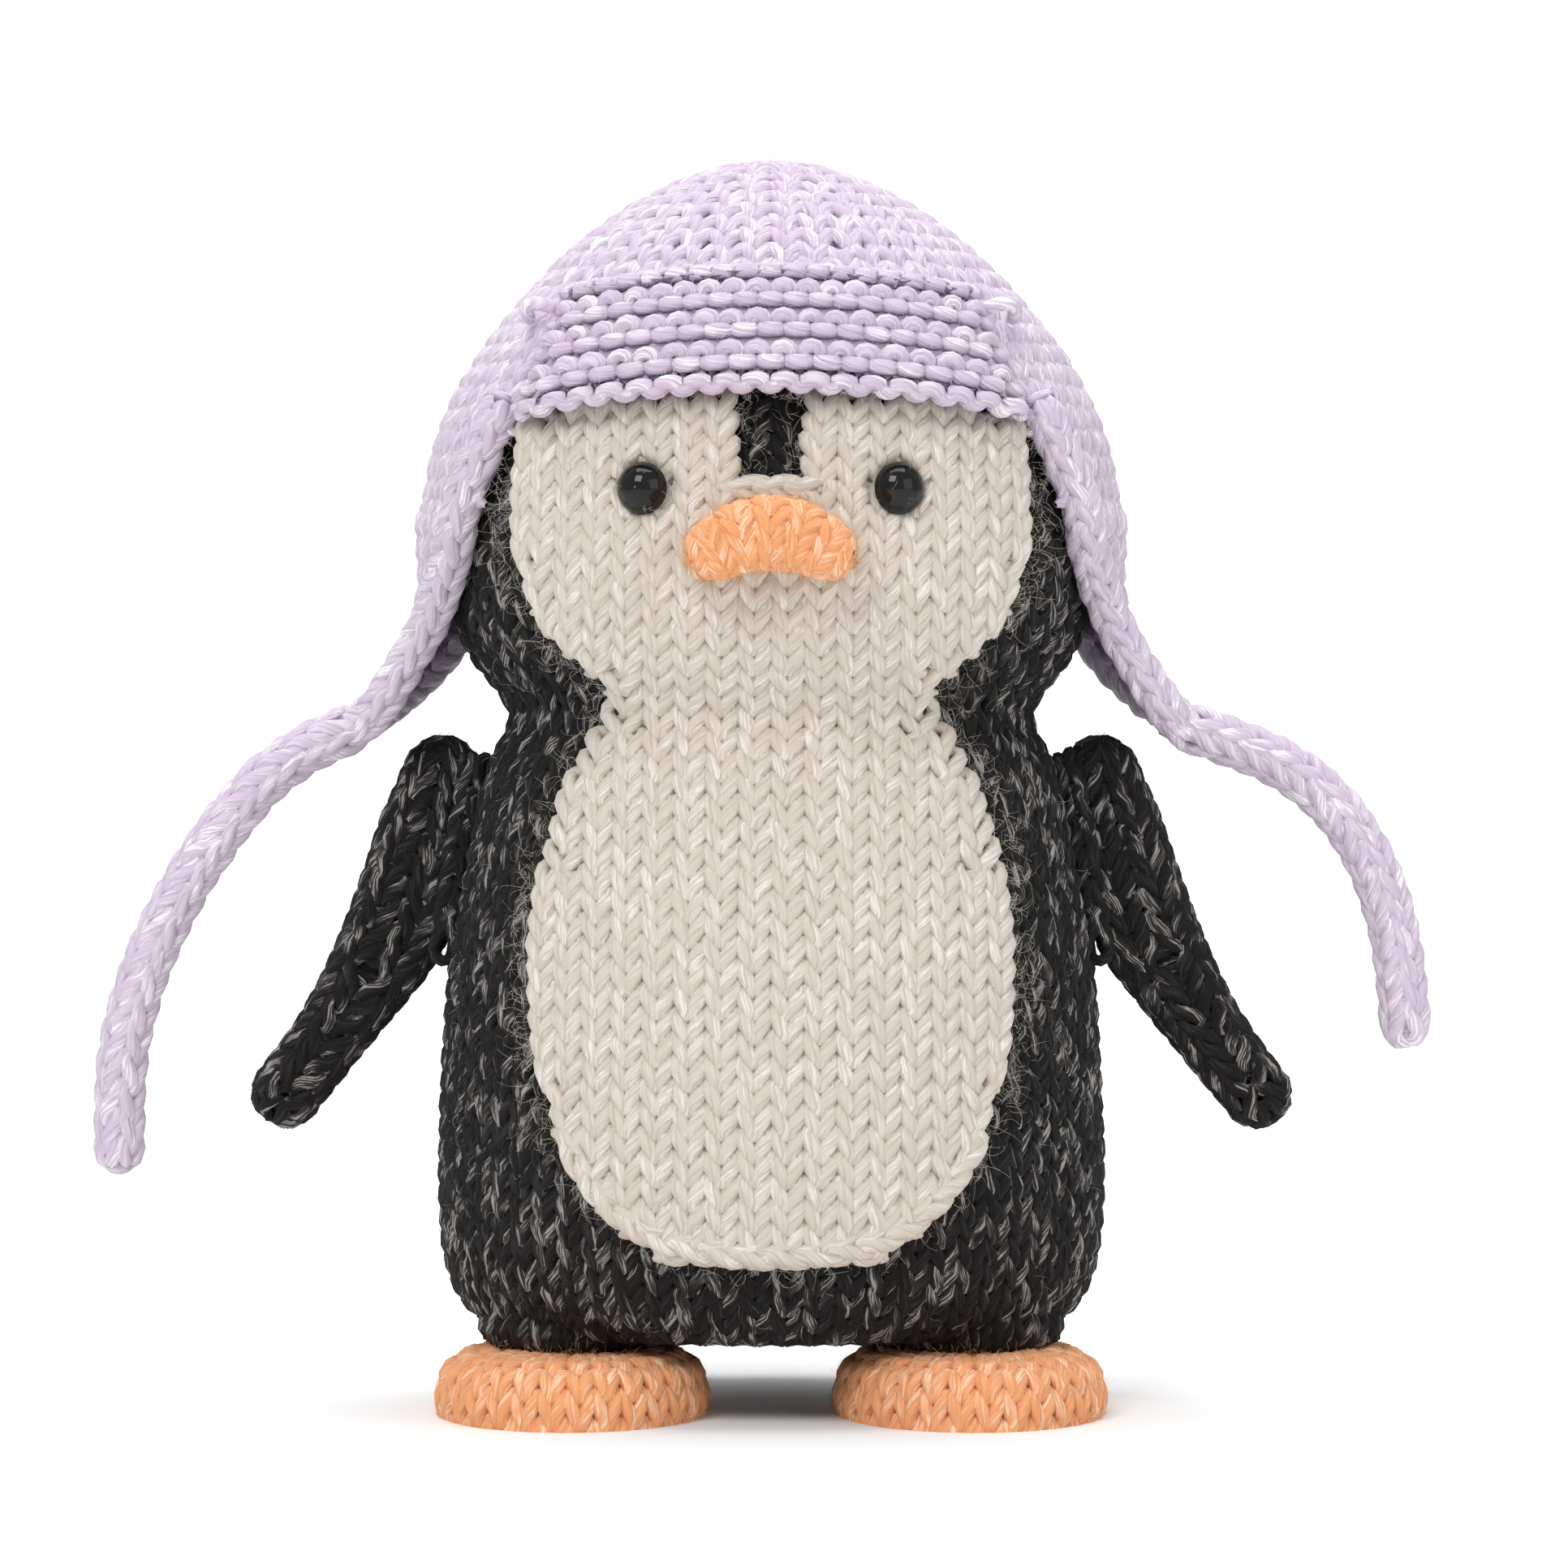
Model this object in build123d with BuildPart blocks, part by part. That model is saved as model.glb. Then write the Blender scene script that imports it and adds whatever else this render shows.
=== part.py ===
from build123d import *
import math
import os

# A small hand-knitted penguin with a knitted earflap hat.
# Millimetres, +Z up, the penguin looks along -Y, and its own left hand is on +X.
# The origin lies on the standing surface, under the middle of the penguin.

os.makedirs("parts", exist_ok=True)

# ---------------------------------------------------------------- driving dimensions

# Knitting, filling and clearances
knit = 2.2  # one layer of the body's knitting
hat_knit = 3.1  # one layer of the hat's thicker knitting
sewn_gap = 0.1  # between two layers that are sewn together
fill_gap = 0.15  # between a cover and its filling
free_gap = 0.4  # between layers that move against each other
depth_ratio = 0.9  # front-to-back size over side-to-side size, body, head and hat

# Bag of the body and head
belly_height = 27.0
neck_height = 84.0
cheek_height = 102.0
head_top = 141.5
belly_half_width = 39.0
neck_half_width = 30.7
cheek_half_width = 38.2

# Legs and feet
leg_x = 22.4
leg_half_width = 13.0
leg_half_depth = 17.0
leg_rounding = 3.5
foot_x = 23.0
foot_half_width = 15.4
foot_half_length = 24.0
foot_height = 10.4
foot_rounding = 4.4
foot_setback = 14.0  # centre of a foot, in front of the bag's axis
leg_drop = 1.6  # how far the legs reach below the crotch
crotch_height = foot_height + free_gap + leg_drop

# Front panel, half outline as (half width, height), from the cheeks down to the tummy
panel_outline = [
    (30.0, 109.0),
    (29.9, 103.0),
    (28.6, 97.5),
    (25.0, 92.5),
    (20.8, 88.6),
    (19.0, 85.6),
    (21.0, 81.5),
    (24.8, 73.5),
    (27.4, 63.5),
    (28.3, 54.0),
    (27.2, 44.5),
    (24.0, 35.0),
    (19.6, 28.8),
    (12.5, 23.8),
]
panel_bottom = 22.0
stripe_half_width = 3.9
stripe_bottom = 110.2

# Beak
beak_height = 103.6
beak_half_span = 6.2
beak_arch = 2.6
beak_thickness = 6.8
beak_rounding = 2.2
beak_depth = 7.55  # how far the beak stands out from the face

# Eyes
eye_x = 14.5
eye_height = 109.5
eye_radius = 3.0
eye_bulge = 2.5
shank_radius = 1.2
shank_length = 9.0
washer_radius = 4.0
washer_thickness = 1.2
shank_fit = 0.05

# Flippers
shoulder_height = 77.0
shoulder_radius = 4.5
shoulder_gap = 0.6
flipper_thickness = 4.6
flipper_rounding = 2.2
# Outline points are (outwards, downwards) from the middle of the rounded shoulder
flipper_upper_edge = [(1.2, -4.3), (5.0, 0.6), (8.8, 10.5), (12.4, 20.0), (21.4, 34.8)]
flipper_end = (21.2, 40.0)
flipper_lower_edge = [(14.8, 38.6), (7.0, 29.2), (1.2, 22.2)]
seam_foot = (-0.7, 18.5)  # lower end of the sewn edge
seam_middle = (-2.4, 9.5)
seam_head = (-4.35, 1.0)
stitch_radius = 0.8

# Hat
rim_height = 107.0
crown_top = 146.0  # inside of the crown
brow_height = 121.3  # hat's front edge at the middle of the forehead
temple_height = 118.3  # hat's front edge at its corners
temple_half_width = 30.5
rim_front_half_width = 36.2
peak_top = 135.8
peak_top_corner = (24.0, 133.6)
tack_x = 25.4
tack_height = 129.5

# Earflaps: outline in side view as (distance behind the bag's axis, height)
flap_front_edge = [(-18.5, 106.6), (-15.0, 101.4), (-11.0, 95.7), (-9.6, 88.5)]
flap_tip_edge = [(-8.6, 81.4), (-5.4, 81.4)]
flap_rear_edge = [(2.5, 85.0), (13.5, 90.2), (17.0, 97.0), (18.5, 106.6)]
# Earflaps: stand-off of the inside from the cheeks, as (height, stand-off)
flap_flare = [(108.0, 0.4), (101.0, 0.5), (96.0, 1.1), (90.0, 4.0), (84.0, 8.0), (79.0, 11.8)]

# Ties: knitted cords that leave the tips of the earflaps
tie_diameter = 5.2
# Points are (sideways, distance in front of the bag's axis, height)
right_tie_route = [
    (-49.6, 7.0, 82.4),
    (-56.5, 7.6, 79.4),
    (-63.0, 8.6, 72.4),
    (-69.2, 9.4, 63.0),
    (-73.8, 9.8, 52.6),
    (-76.0, 9.6, 42.5),
    (-75.9, 9.2, 33.6),
]
left_tie_route = [
    (49.6, 7.0, 82.4),
    (57.8, 7.8, 79.8),
    (65.2, 8.8, 74.6),
    (70.3, 9.4, 66.8),
    (73.2, 9.6, 57.2),
    (73.9, 9.3, 47.5),
]

# ---------------------------------------------------------------- shared shapes

front_reach = (cheek_half_width + sewn_gap + knit) * depth_ratio + beak_depth
hat_back_reach = (cheek_half_width + free_gap + hat_knit) * depth_ratio
axis_y = (front_reach - hat_back_reach) / 2  # puts the origin in the middle, front to back

# Bag profile: (height, half width) from the crotch to the top of the head
trunk = neck_height - belly_height
jaw = cheek_height - neck_height
dome = head_top - cheek_height
bag_profile = [
    (crotch_height, 0.800 * belly_half_width),
    (crotch_height + 1.6, 0.900 * belly_half_width),
    (crotch_height + 5.0, 0.960 * belly_half_width),
    (belly_height, belly_half_width),
    (belly_height + 0.30 * trunk, 0.990 * belly_half_width),
    (belly_height + 0.55 * trunk, 0.960 * belly_half_width),
    (belly_height + 0.79 * trunk, 0.898 * belly_half_width),
    (belly_height + 0.92 * trunk, (0.45 * belly_half_width + 0.5 * neck_half_width)),
    (neck_height, neck_half_width),
    (neck_height + 0.28 * jaw, 0.888 * cheek_half_width),
    (neck_height + 0.67 * jaw, 0.982 * cheek_half_width),
    (cheek_height, cheek_half_width),
    (cheek_height + 0.127 * dome, 0.992 * cheek_half_width),
    (cheek_height + 0.228 * dome, 0.971 * cheek_half_width),
    (cheek_height + 0.456 * dome, 0.895 * cheek_half_width),
    (cheek_height + 0.658 * dome, 0.749 * cheek_half_width),
    (cheek_height + 0.810 * dome, 0.576 * cheek_half_width),
    (cheek_height + 0.937 * dome, 0.340 * cheek_half_width),
    (head_top, 0.144 * cheek_half_width),
]

# Crown profile, inside: shares of the crown's rise and of its half width at the rim
rim_half_width = 0.992 * cheek_half_width + free_gap + sewn_gap
crown_shares = [
    (0.000, 1.000),
    (0.103, 0.979),
    (0.333, 0.906),
    (0.538, 0.771),
    (0.744, 0.578),
    (0.885, 0.390),
    (0.960, 0.234),
    (1.000, 0.104),
]
crown_rise = crown_top - rim_height
crown_profile = [(rim_height + up * crown_rise, out * rim_half_width) for up, out in crown_shares]


def grown(profile, amount, dome_base):
    """The profile moved outwards by amount, square to the surface on the dome."""
    top = profile[-1][0]
    moved = []
    for height, half_width in profile:
        climb = max(0.0, (height - dome_base) / (top - dome_base))
        moved.append((height + amount * climb, half_width + amount * math.sqrt(1 - climb**2)))
    return moved


def oval_loft(profile):
    """A solid through oval sections about the bag's axis."""
    with BuildPart() as solid:
        for height, half_width in profile:
            with BuildSketch(Plane((0, axis_y, height))):
                Ellipse(half_width, half_width * depth_ratio)
        loft()
    return solid.part


def half_width_at(profile, height):
    """Half width of a profile at a height, between its two nearest points."""
    for (low, low_half), (high, high_half) in zip(profile, profile[1:]):
        if low <= height <= high:
            share = (height - low) / (high - low)
            return low_half + share * (high_half - low_half)
    return profile[-1][1]


def front_plane(y):
    """A plane seen from the front: its x is sideways, its y is up."""
    return Plane((0, y, 0), x_dir=(1, 0, 0), z_dir=(0, -1, 0))


def leg(side, shrink):
    """One leg, a short rounded stub under the bag, made smaller by shrink."""
    with BuildPart() as stub:
        with BuildSketch(Plane((side * leg_x, axis_y - foot_setback / 2, foot_height + free_gap + shrink))):
            Ellipse(leg_half_width - shrink, leg_half_depth - shrink)
        extrude(amount=belly_height - foot_height)
        fillet(stub.edges().group_by(Axis.Z)[0], leg_rounding - shrink / 2)
    return stub.part


def bag(amount):
    """The stuffed bag with its legs, moved outwards by amount."""
    stretch = (belly_height - crotch_height + amount) / (belly_height - crotch_height)
    profile = [
        (belly_height - stretch * (belly_height - height) if height < belly_height else height, half_width)
        for height, half_width in grown(bag_profile, amount, cheek_height)
    ]
    return oval_loft(profile)


bag_outside = bag(0)
bag_inside = bag(-knit)
filling_outside = bag(-knit - fill_gap)
panel_inside = bag(sewn_gap)
panel_outside = bag(sewn_gap + knit)
beak_seat = bag(2 * sewn_gap + knit)
legs_outside = [leg(side, 0) for side in (-1, 1)]
legs_inside = [leg(side, knit) for side in (-1, 1)]
legs_filling = [leg(side, knit + fill_gap) for side in (-1, 1)]

# Each eye points along the face's outward normal at its own place
face_profile = grown(bag_profile, sewn_gap + knit, cheek_height)
face_half_width = half_width_at(face_profile, eye_height)
face_half_depth = face_half_width * depth_ratio
eye_forward = face_half_depth * math.sqrt(1 - (eye_x / face_half_width) ** 2)
eye_out = Vector(eye_x / face_half_width**2, -eye_forward / face_half_depth**2, 0).normalized()
eye_seat = Vector(eye_x, axis_y - eye_forward, eye_height) + eye_out * sewn_gap


def eye_plane(side, depth):
    """The plane across an eye's shank, depth below the face."""
    outward = Vector(side * eye_out.X, eye_out.Y, 0)
    seat = Vector(side * eye_seat.X, eye_seat.Y, eye_seat.Z)
    return Plane(seat - outward * depth, x_dir=(0, 0, 1), z_dir=outward)


# ---------------------------------------------------------------- body

# Knitted bag of the body and head, with the holes that the eyes' shanks pass through
with BuildPart() as body_cover:
    add(bag_outside)
    for stub in legs_outside:
        add(stub)
    add(bag_inside, mode=Mode.SUBTRACT)
    for stub in legs_inside:
        add(stub, mode=Mode.SUBTRACT)
    for side in (-1, 1):
        with BuildSketch(eye_plane(side, shank_length)):
            Circle(shank_radius + fill_gap)
        extrude(amount=2 * shank_length, mode=Mode.SUBTRACT)
body_cover.part.label = "body_cover"
export_step(body_cover.part, "parts/body_cover.step")

# Filling below the drawn-in neck, which also fills the legs
neck_yarn_radius = 0.8
neck_split = neck_yarn_radius + fill_gap
with BuildPart() as body_stuffing:
    add(filling_outside)
    for stub in legs_filling:
        add(stub)
    split(bisect_by=Plane.XY.offset(neck_height - neck_split), keep=Keep.BOTTOM)
body_stuffing.part.label = "body_stuffing"
export_step(body_stuffing.part, "parts/body_stuffing.step")

# Filling above the neck, pushed aside by the eyes' shanks and washers
washer_depth = 2 * sewn_gap + 2 * knit + 4 * fill_gap
with BuildPart() as head_stuffing:
    add(filling_outside)
    split(bisect_by=Plane.XY.offset(neck_height + neck_split), keep=Keep.TOP)
    for side in (-1, 1):
        with BuildSketch(eye_plane(side, shank_length + fill_gap)):
            Circle(washer_radius + fill_gap)
        extrude(amount=shank_length, mode=Mode.SUBTRACT)
head_stuffing.part.label = "head_stuffing"
export_step(head_stuffing.part, "parts/head_stuffing.step")

# Yarn drawn tight round the neck, inside the bag
neck_ring_half_width = neck_half_width - knit - fill_gap - neck_yarn_radius
with BuildPart() as neck_yarn:
    with BuildSketch(Plane((0, axis_y, neck_height - neck_yarn_radius))):
        Ellipse(neck_ring_half_width + neck_yarn_radius,
                neck_ring_half_width * depth_ratio + neck_yarn_radius)
        Ellipse(neck_ring_half_width - neck_yarn_radius,
                neck_ring_half_width * depth_ratio - neck_yarn_radius, mode=Mode.SUBTRACT)
    extrude(amount=2 * neck_yarn_radius)
    fillet(neck_yarn.edges(), 0.8 * neck_yarn_radius)
neck_yarn.part.label = "neck_yarn"
export_step(neck_yarn.part, "parts/neck_yarn.step")

# ---------------------------------------------------------------- face and tummy panel

# One cream piece, sewn on from the hat's edge down over the tummy, notched for the stripe
panel_top = temple_height - free_gap
panel_top_middle = brow_height - free_gap
with BuildPart() as front_panel:
    with BuildSketch(front_plane(axis_y)):
        with BuildLine():
            right_side = Spline([(-x, z) for x, z in panel_outline])
            left_side = Spline(panel_outline)
            Line((-panel_outline[0][0], panel_outline[0][1]), (-temple_half_width + 1.0, panel_top))
            Line((panel_outline[0][0], panel_outline[0][1]), (temple_half_width - 1.0, panel_top))
            ThreePointArc((-temple_half_width + 1.0, panel_top), (0, panel_top_middle),
                          (temple_half_width - 1.0, panel_top))
            ThreePointArc(right_side @ 1, (0, panel_bottom), left_side @ 1)
        make_face()
        with BuildLine():
            Polyline((-stripe_half_width, brow_height), (-stripe_half_width + 0.6, stripe_bottom),
                     (stripe_half_width - 0.6, stripe_bottom), (stripe_half_width, brow_height),
                     close=True)
        make_face(mode=Mode.SUBTRACT)
    extrude(amount=2 * front_reach)
    add(panel_outside, mode=Mode.INTERSECT)
    add(panel_inside, mode=Mode.SUBTRACT)
    for side in (-1, 1):
        with BuildSketch(eye_plane(side, shank_length)):
            Circle(shank_radius + fill_gap)
        extrude(amount=2 * shank_length, mode=Mode.SUBTRACT)
        with BuildSketch(eye_plane(side, fill_gap)):
            Circle(eye_radius + fill_gap)
        extrude(amount=eye_bulge, mode=Mode.SUBTRACT)
front_panel.part.label = "front_panel"
export_step(front_panel.part, "parts/front_panel.step")

# ---------------------------------------------------------------- beak


def beak_body(shrink, reach):
    """The beak's arched pad, made smaller by shrink, with its back on the face."""
    end_height = beak_height - beak_arch / 2
    spine = ThreePointArc((-beak_half_span, end_height), (0, end_height + beak_arch), (beak_half_span, end_height))
    with BuildPart() as pad:
        with BuildSketch(front_plane(axis_y - front_reach + 2 * beak_thickness)):
            SlotArc(spine, beak_thickness - 2 * shrink)
        extrude(amount=2 * beak_thickness - reach)
        fillet(pad.faces().sort_by(Axis.Y)[0].edges(), beak_rounding - shrink / 2)
        add(beak_seat, mode=Mode.SUBTRACT)
    return pad.part


beak_outside = beak_body(0, 0)
beak_cavity = beak_body(knit * 0.7, knit * 0.7)
beak_filling = beak_body(knit * 0.7 + fill_gap, knit * 0.7 + fill_gap)
with BuildPart() as beak_cover:
    add(beak_outside)
    add(beak_cavity, mode=Mode.SUBTRACT)
beak_cover.part.label = "beak_cover"
export_step(beak_cover.part, "parts/beak_cover.step")
with BuildPart() as beak_stuffing:
    add(beak_filling)
beak_stuffing.part.label = "beak_stuffing"
export_step(beak_stuffing.part, "parts/beak_stuffing.step")

# ---------------------------------------------------------------- eyes

# A glossy dome on a plain shank, and the push-on washer that locks it inside the head
dome_radius = (eye_radius**2 + eye_bulge**2) / (2 * eye_bulge)
half_sweep = math.asin(eye_radius / dome_radius) / 2
dome_shoulder = (dome_radius * math.sin(half_sweep), eye_bulge - dome_radius * (1 - math.cos(half_sweep)))
for name, side in (("right", -1), ("left", 1)):
    seat = eye_plane(side, 0)
    with BuildPart() as eye:
        with BuildSketch(Plane(seat.origin, x_dir=seat.x_dir, z_dir=-seat.y_dir)):
            with BuildLine():
                Polyline((0, eye_bulge), (0, -shank_length), (shank_radius, -shank_length),
                         (shank_radius, 0), (eye_radius, 0))
                ThreePointArc((eye_radius, 0), dome_shoulder, (0, eye_bulge))
            make_face()
        revolve(axis=Axis(seat.origin, seat.z_dir))
    eye.part.label = f"eye_{name}"
    export_step(eye.part, f"parts/eye_{name}.step")

    with BuildPart() as eye_washer:
        with BuildSketch(eye_plane(side, washer_depth + washer_thickness)):
            Circle(washer_radius)
            Circle(shank_radius + shank_fit, mode=Mode.SUBTRACT)
        extrude(amount=washer_thickness)
    eye_washer.part.label = f"eye_washer_{name}"
    export_step(eye_washer.part, f"parts/eye_washer_{name}.step")

# ---------------------------------------------------------------- feet


def foot_pad(side, shrink):
    """A foot's flat oval pad, made smaller by shrink all round."""
    with BuildPart() as pad:
        with BuildSketch(Plane((side * foot_x, axis_y - foot_setback, shrink))):
            Ellipse(foot_half_width - shrink, foot_half_length - shrink)
        extrude(amount=foot_height - 2 * shrink)
        fillet(pad.edges().filter_by(GeomType.CIRCLE, reverse=True).group_by(Axis.Z)[-1],
               foot_rounding - shrink)
        fillet(pad.edges().group_by(Axis.Z)[0], (foot_rounding - shrink) / 2)
    return pad.part


for name, side in (("right", -1), ("left", 1)):
    foot_outside = foot_pad(side, 0)
    foot_cavity = foot_pad(side, knit)
    foot_filling = foot_pad(side, knit + fill_gap)
    with BuildPart() as foot_cover:
        add(foot_outside)
        add(foot_cavity, mode=Mode.SUBTRACT)
    foot_cover.part.label = f"foot_{name}"
    export_step(foot_cover.part, f"parts/foot_{name}.step")
    with BuildPart() as foot_stuffing:
        add(foot_filling)
    foot_stuffing.part.label = f"foot_stuffing_{name}"
    export_step(foot_stuffing.part, f"parts/foot_stuffing_{name}.step")

# ---------------------------------------------------------------- flippers

# A flat tube of knitting that turns about its rounded shoulder, on a few turns of sewing yarn
shoulder_x = half_width_at(bag_profile, shoulder_height) + shoulder_radius + shoulder_gap
for name, side in (("right", -1), ("left", 1)):
    shoulder = (side * shoulder_x, shoulder_height)
    upper_edge, lower_edge, sewn_edge = (
        [(side * (shoulder_x + out), shoulder_height - down) for out, down in edge]
        for edge in (flipper_upper_edge, flipper_lower_edge, [seam_foot, seam_middle, seam_head])
    )
    end_point = (side * (shoulder_x + flipper_end[0]), shoulder_height - flipper_end[1])
    with BuildPart() as flipper:
        with BuildSketch(front_plane(axis_y + flipper_thickness / 2)):
            with Locations(shoulder):
                Circle(shoulder_radius)
            with BuildLine():
                Spline(upper_edge)
                ThreePointArc(upper_edge[-1], end_point, lower_edge[0])
                Spline(lower_edge)
                Polyline(lower_edge[-1], *sewn_edge, upper_edge[0])
            make_face()
        extrude(amount=flipper_thickness)
        fillet(flipper.faces().filter_by(Axis.Y).edges(), flipper_rounding)
        with BuildSketch(front_plane(axis_y + flipper_thickness)):
            with Locations(shoulder):
                Circle(stitch_radius + shank_fit)
        extrude(amount=2 * flipper_thickness, mode=Mode.SUBTRACT)
    flipper.part.label = f"flipper_{name}"
    export_step(flipper.part, f"parts/flipper_{name}.step")

    with BuildPart() as flipper_seam:
        with BuildSketch(front_plane(axis_y + flipper_thickness / 2)):
            with Locations(shoulder):
                Circle(stitch_radius)
        extrude(amount=flipper_thickness)
    flipper_seam.part.label = f"flipper_seam_{name}"
    export_step(flipper_seam.part, f"parts/flipper_seam_{name}.step")

# ---------------------------------------------------------------- hat

crown_inside = oval_loft([(rim_height - hat_knit, rim_half_width)] + crown_profile)
crown_outline = grown(crown_profile, hat_knit, rim_height)
crown_outside = oval_loft(crown_outline)
peak_inside = oval_loft(grown(crown_profile, hat_knit + sewn_gap, rim_height))
peak_outside = oval_loft(grown(crown_profile, 2 * hat_knit + sewn_gap, rim_height))

# Tacking stitches that hold the turned-up peak at its upper corners
tack_level_half_width = half_width_at(crown_outline, tack_height)
tack_forward = depth_ratio * math.sqrt(tack_level_half_width**2 - tack_x**2)


def tack_plane(side, depth):
    """The plane across one tacking stitch, depth below the crown's outside."""
    outward = Vector(side * tack_x, -tack_forward / depth_ratio**2, tack_level_half_width * 0.55).normalized()
    seat = Vector(side * tack_x, axis_y - tack_forward, tack_height)
    return Plane(seat - outward * depth, x_dir=(0, 0, 1), z_dir=outward)


with BuildPart() as hat_crown:
    add(crown_outside)
    add(crown_inside, mode=Mode.SUBTRACT)
    with BuildSketch(front_plane(axis_y - 5.0)):
        with BuildLine():
            ThreePointArc((-temple_half_width, temple_height), (0, brow_height),
                          (temple_half_width, temple_height))
            Polyline((temple_half_width, temple_height), (rim_front_half_width, rim_height),
                     (rim_front_half_width, rim_height - hat_knit),
                     (-rim_front_half_width, rim_height - hat_knit),
                     (-rim_front_half_width, rim_height), (-temple_half_width, temple_height))
        make_face()
    extrude(amount=2 * front_reach, mode=Mode.SUBTRACT)
    for side in (-1, 1):
        with BuildSketch(tack_plane(side, hat_knit / 2)):
            Circle(stitch_radius + shank_fit)
        extrude(amount=2 * hat_knit, mode=Mode.SUBTRACT)
hat_crown.part.label = "hat_crown"
export_step(hat_crown.part, "parts/hat_crown.step")

with BuildPart() as hat_peak:
    with BuildSketch(front_plane(axis_y)):
        with BuildLine():
            ThreePointArc((-temple_half_width, temple_height), (0, brow_height),
                          (temple_half_width, temple_height))
            Line((temple_half_width, temple_height), peak_top_corner)
            ThreePointArc(peak_top_corner, (0, peak_top), (-peak_top_corner[0], peak_top_corner[1]))
            Line((-peak_top_corner[0], peak_top_corner[1]), (-temple_half_width, temple_height))
        make_face()
    extrude(amount=2 * front_reach)
    add(peak_outside, mode=Mode.INTERSECT)
    add(peak_inside, mode=Mode.SUBTRACT)
    for side in (-1, 1):
        with BuildSketch(tack_plane(side, hat_knit / 2)):
            Circle(stitch_radius + shank_fit)
        extrude(amount=3 * hat_knit, mode=Mode.SUBTRACT)
hat_peak.part.label = "hat_peak"
export_step(hat_peak.part, "parts/hat_peak.step")

with BuildPart() as hat_peak_tacks:
    for side in (-1, 1):
        with BuildSketch(tack_plane(side, hat_knit / 2 - fill_gap)):
            Circle(stitch_radius)
        extrude(amount=1.5 * hat_knit)
hat_peak_tacks.part.label = "hat_peak_tacks"
export_step(hat_peak_tacks.part, "parts/hat_peak_tacks.step")

# ---------------------------------------------------------------- earflaps and ties

flap_inside_profile = [(height, cheek_half_width + stand_off) for height, stand_off in reversed(flap_flare)]
flap_outside_profile = [(height, half_width + hat_knit) for height, half_width in flap_inside_profile]
flap_inside = oval_loft(flap_inside_profile)
flap_outside = oval_loft(flap_outside_profile)
side_plane = Plane((0, axis_y, 0), x_dir=(0, 1, 0), z_dir=(1, 0, 0))

for name, side, route in (("right", -1, right_tie_route), ("left", 1, left_tie_route)):
    points = [Vector(x, axis_y - forward, z) for x, forward, z in route]
    with BuildPart() as earflap:
        with BuildSketch(side_plane):
            with BuildLine():
                front_edge = Spline(flap_front_edge)
                rear_edge = Spline(flap_rear_edge)
                Polyline(front_edge @ 1, flap_tip_edge[0], flap_tip_edge[1], rear_edge @ 0)
                Line(rear_edge @ 1, front_edge @ 0)
            make_face()
        extrude(amount=side * 2 * front_reach)
        add(flap_outside, mode=Mode.INTERSECT)
        add(flap_inside, mode=Mode.SUBTRACT)
        with Locations(points[0]):
            Sphere(tie_diameter / 2 + free_gap, mode=Mode.SUBTRACT)
    earflap.part.label = f"earflap_{name}"
    export_step(earflap.part, f"parts/earflap_{name}.step")

    runs = [(end - start).length for start, end in zip(points, points[1:])]
    radii = []
    for before, corner, after, first, second in zip(points, points[1:], points[2:], runs, runs[1:]):
        turn = math.radians((corner - before).get_angle(after - corner))
        radii.append(0.45 * min(first, second) / math.tan(turn / 2))
    with BuildPart() as tie:
        with BuildLine() as path:
            FilletPolyline(points, radius=radii)
        with BuildSketch(Plane(path.line @ 0, z_dir=path.line % 0)):
            Circle(tie_diameter / 2)
        sweep()
        with Locations(points[0], points[-1]):
            Sphere(tie_diameter / 2)
    tie.part.label = f"tie_{name}"
    export_step(tie.part, f"parts/tie_{name}.step")
    tube_length = path.wire().length
    section = math.pi * (tie_diameter / 2) ** 2
    expected = section * tube_length + 4 / 3 * math.pi * (tie_diameter / 2) ** 3
    print(f"tie_{name}: length {tube_length:.1f} mm, radii", [round(radius, 1) for radius in radii])
    print(f"tie_{name}: volume {tie.part.volume:.1f}, section times length and ends {expected:.1f}")
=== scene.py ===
import math

import bmesh
import bpy
import numpy as np
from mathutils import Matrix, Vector
from mathutils.bvhtree import BVHTree


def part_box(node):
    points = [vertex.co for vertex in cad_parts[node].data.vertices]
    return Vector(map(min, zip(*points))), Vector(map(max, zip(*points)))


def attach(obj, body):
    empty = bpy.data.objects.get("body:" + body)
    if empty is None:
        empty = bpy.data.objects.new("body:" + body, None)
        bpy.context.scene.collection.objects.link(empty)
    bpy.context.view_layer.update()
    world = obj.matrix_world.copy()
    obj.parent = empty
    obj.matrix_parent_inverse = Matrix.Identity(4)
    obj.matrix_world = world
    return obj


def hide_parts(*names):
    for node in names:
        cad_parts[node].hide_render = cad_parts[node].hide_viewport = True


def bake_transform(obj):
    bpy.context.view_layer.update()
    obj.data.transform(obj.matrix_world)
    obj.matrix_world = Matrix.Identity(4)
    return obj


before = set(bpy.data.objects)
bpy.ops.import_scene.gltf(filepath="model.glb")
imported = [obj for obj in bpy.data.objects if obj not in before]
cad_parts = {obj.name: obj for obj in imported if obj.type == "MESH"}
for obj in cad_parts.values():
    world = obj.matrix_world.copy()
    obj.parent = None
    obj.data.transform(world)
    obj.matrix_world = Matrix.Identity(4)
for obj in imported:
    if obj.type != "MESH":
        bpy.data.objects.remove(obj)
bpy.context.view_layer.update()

# ---------------------------------------------------------------- camera
# A long lens at half the penguin's height, square to its front.
camera_away = 0.80
camera_sees = 0.184
camera_middle = (0.0015, 0.0761)
camera = bpy.data.objects.new("camera", bpy.data.cameras.new("camera"))
camera.data.lens = camera.data.sensor_width * camera_away / camera_sees
camera.data.clip_start = 0.05
camera.location = (camera_middle[0], -camera_away, camera_middle[1])
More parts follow.
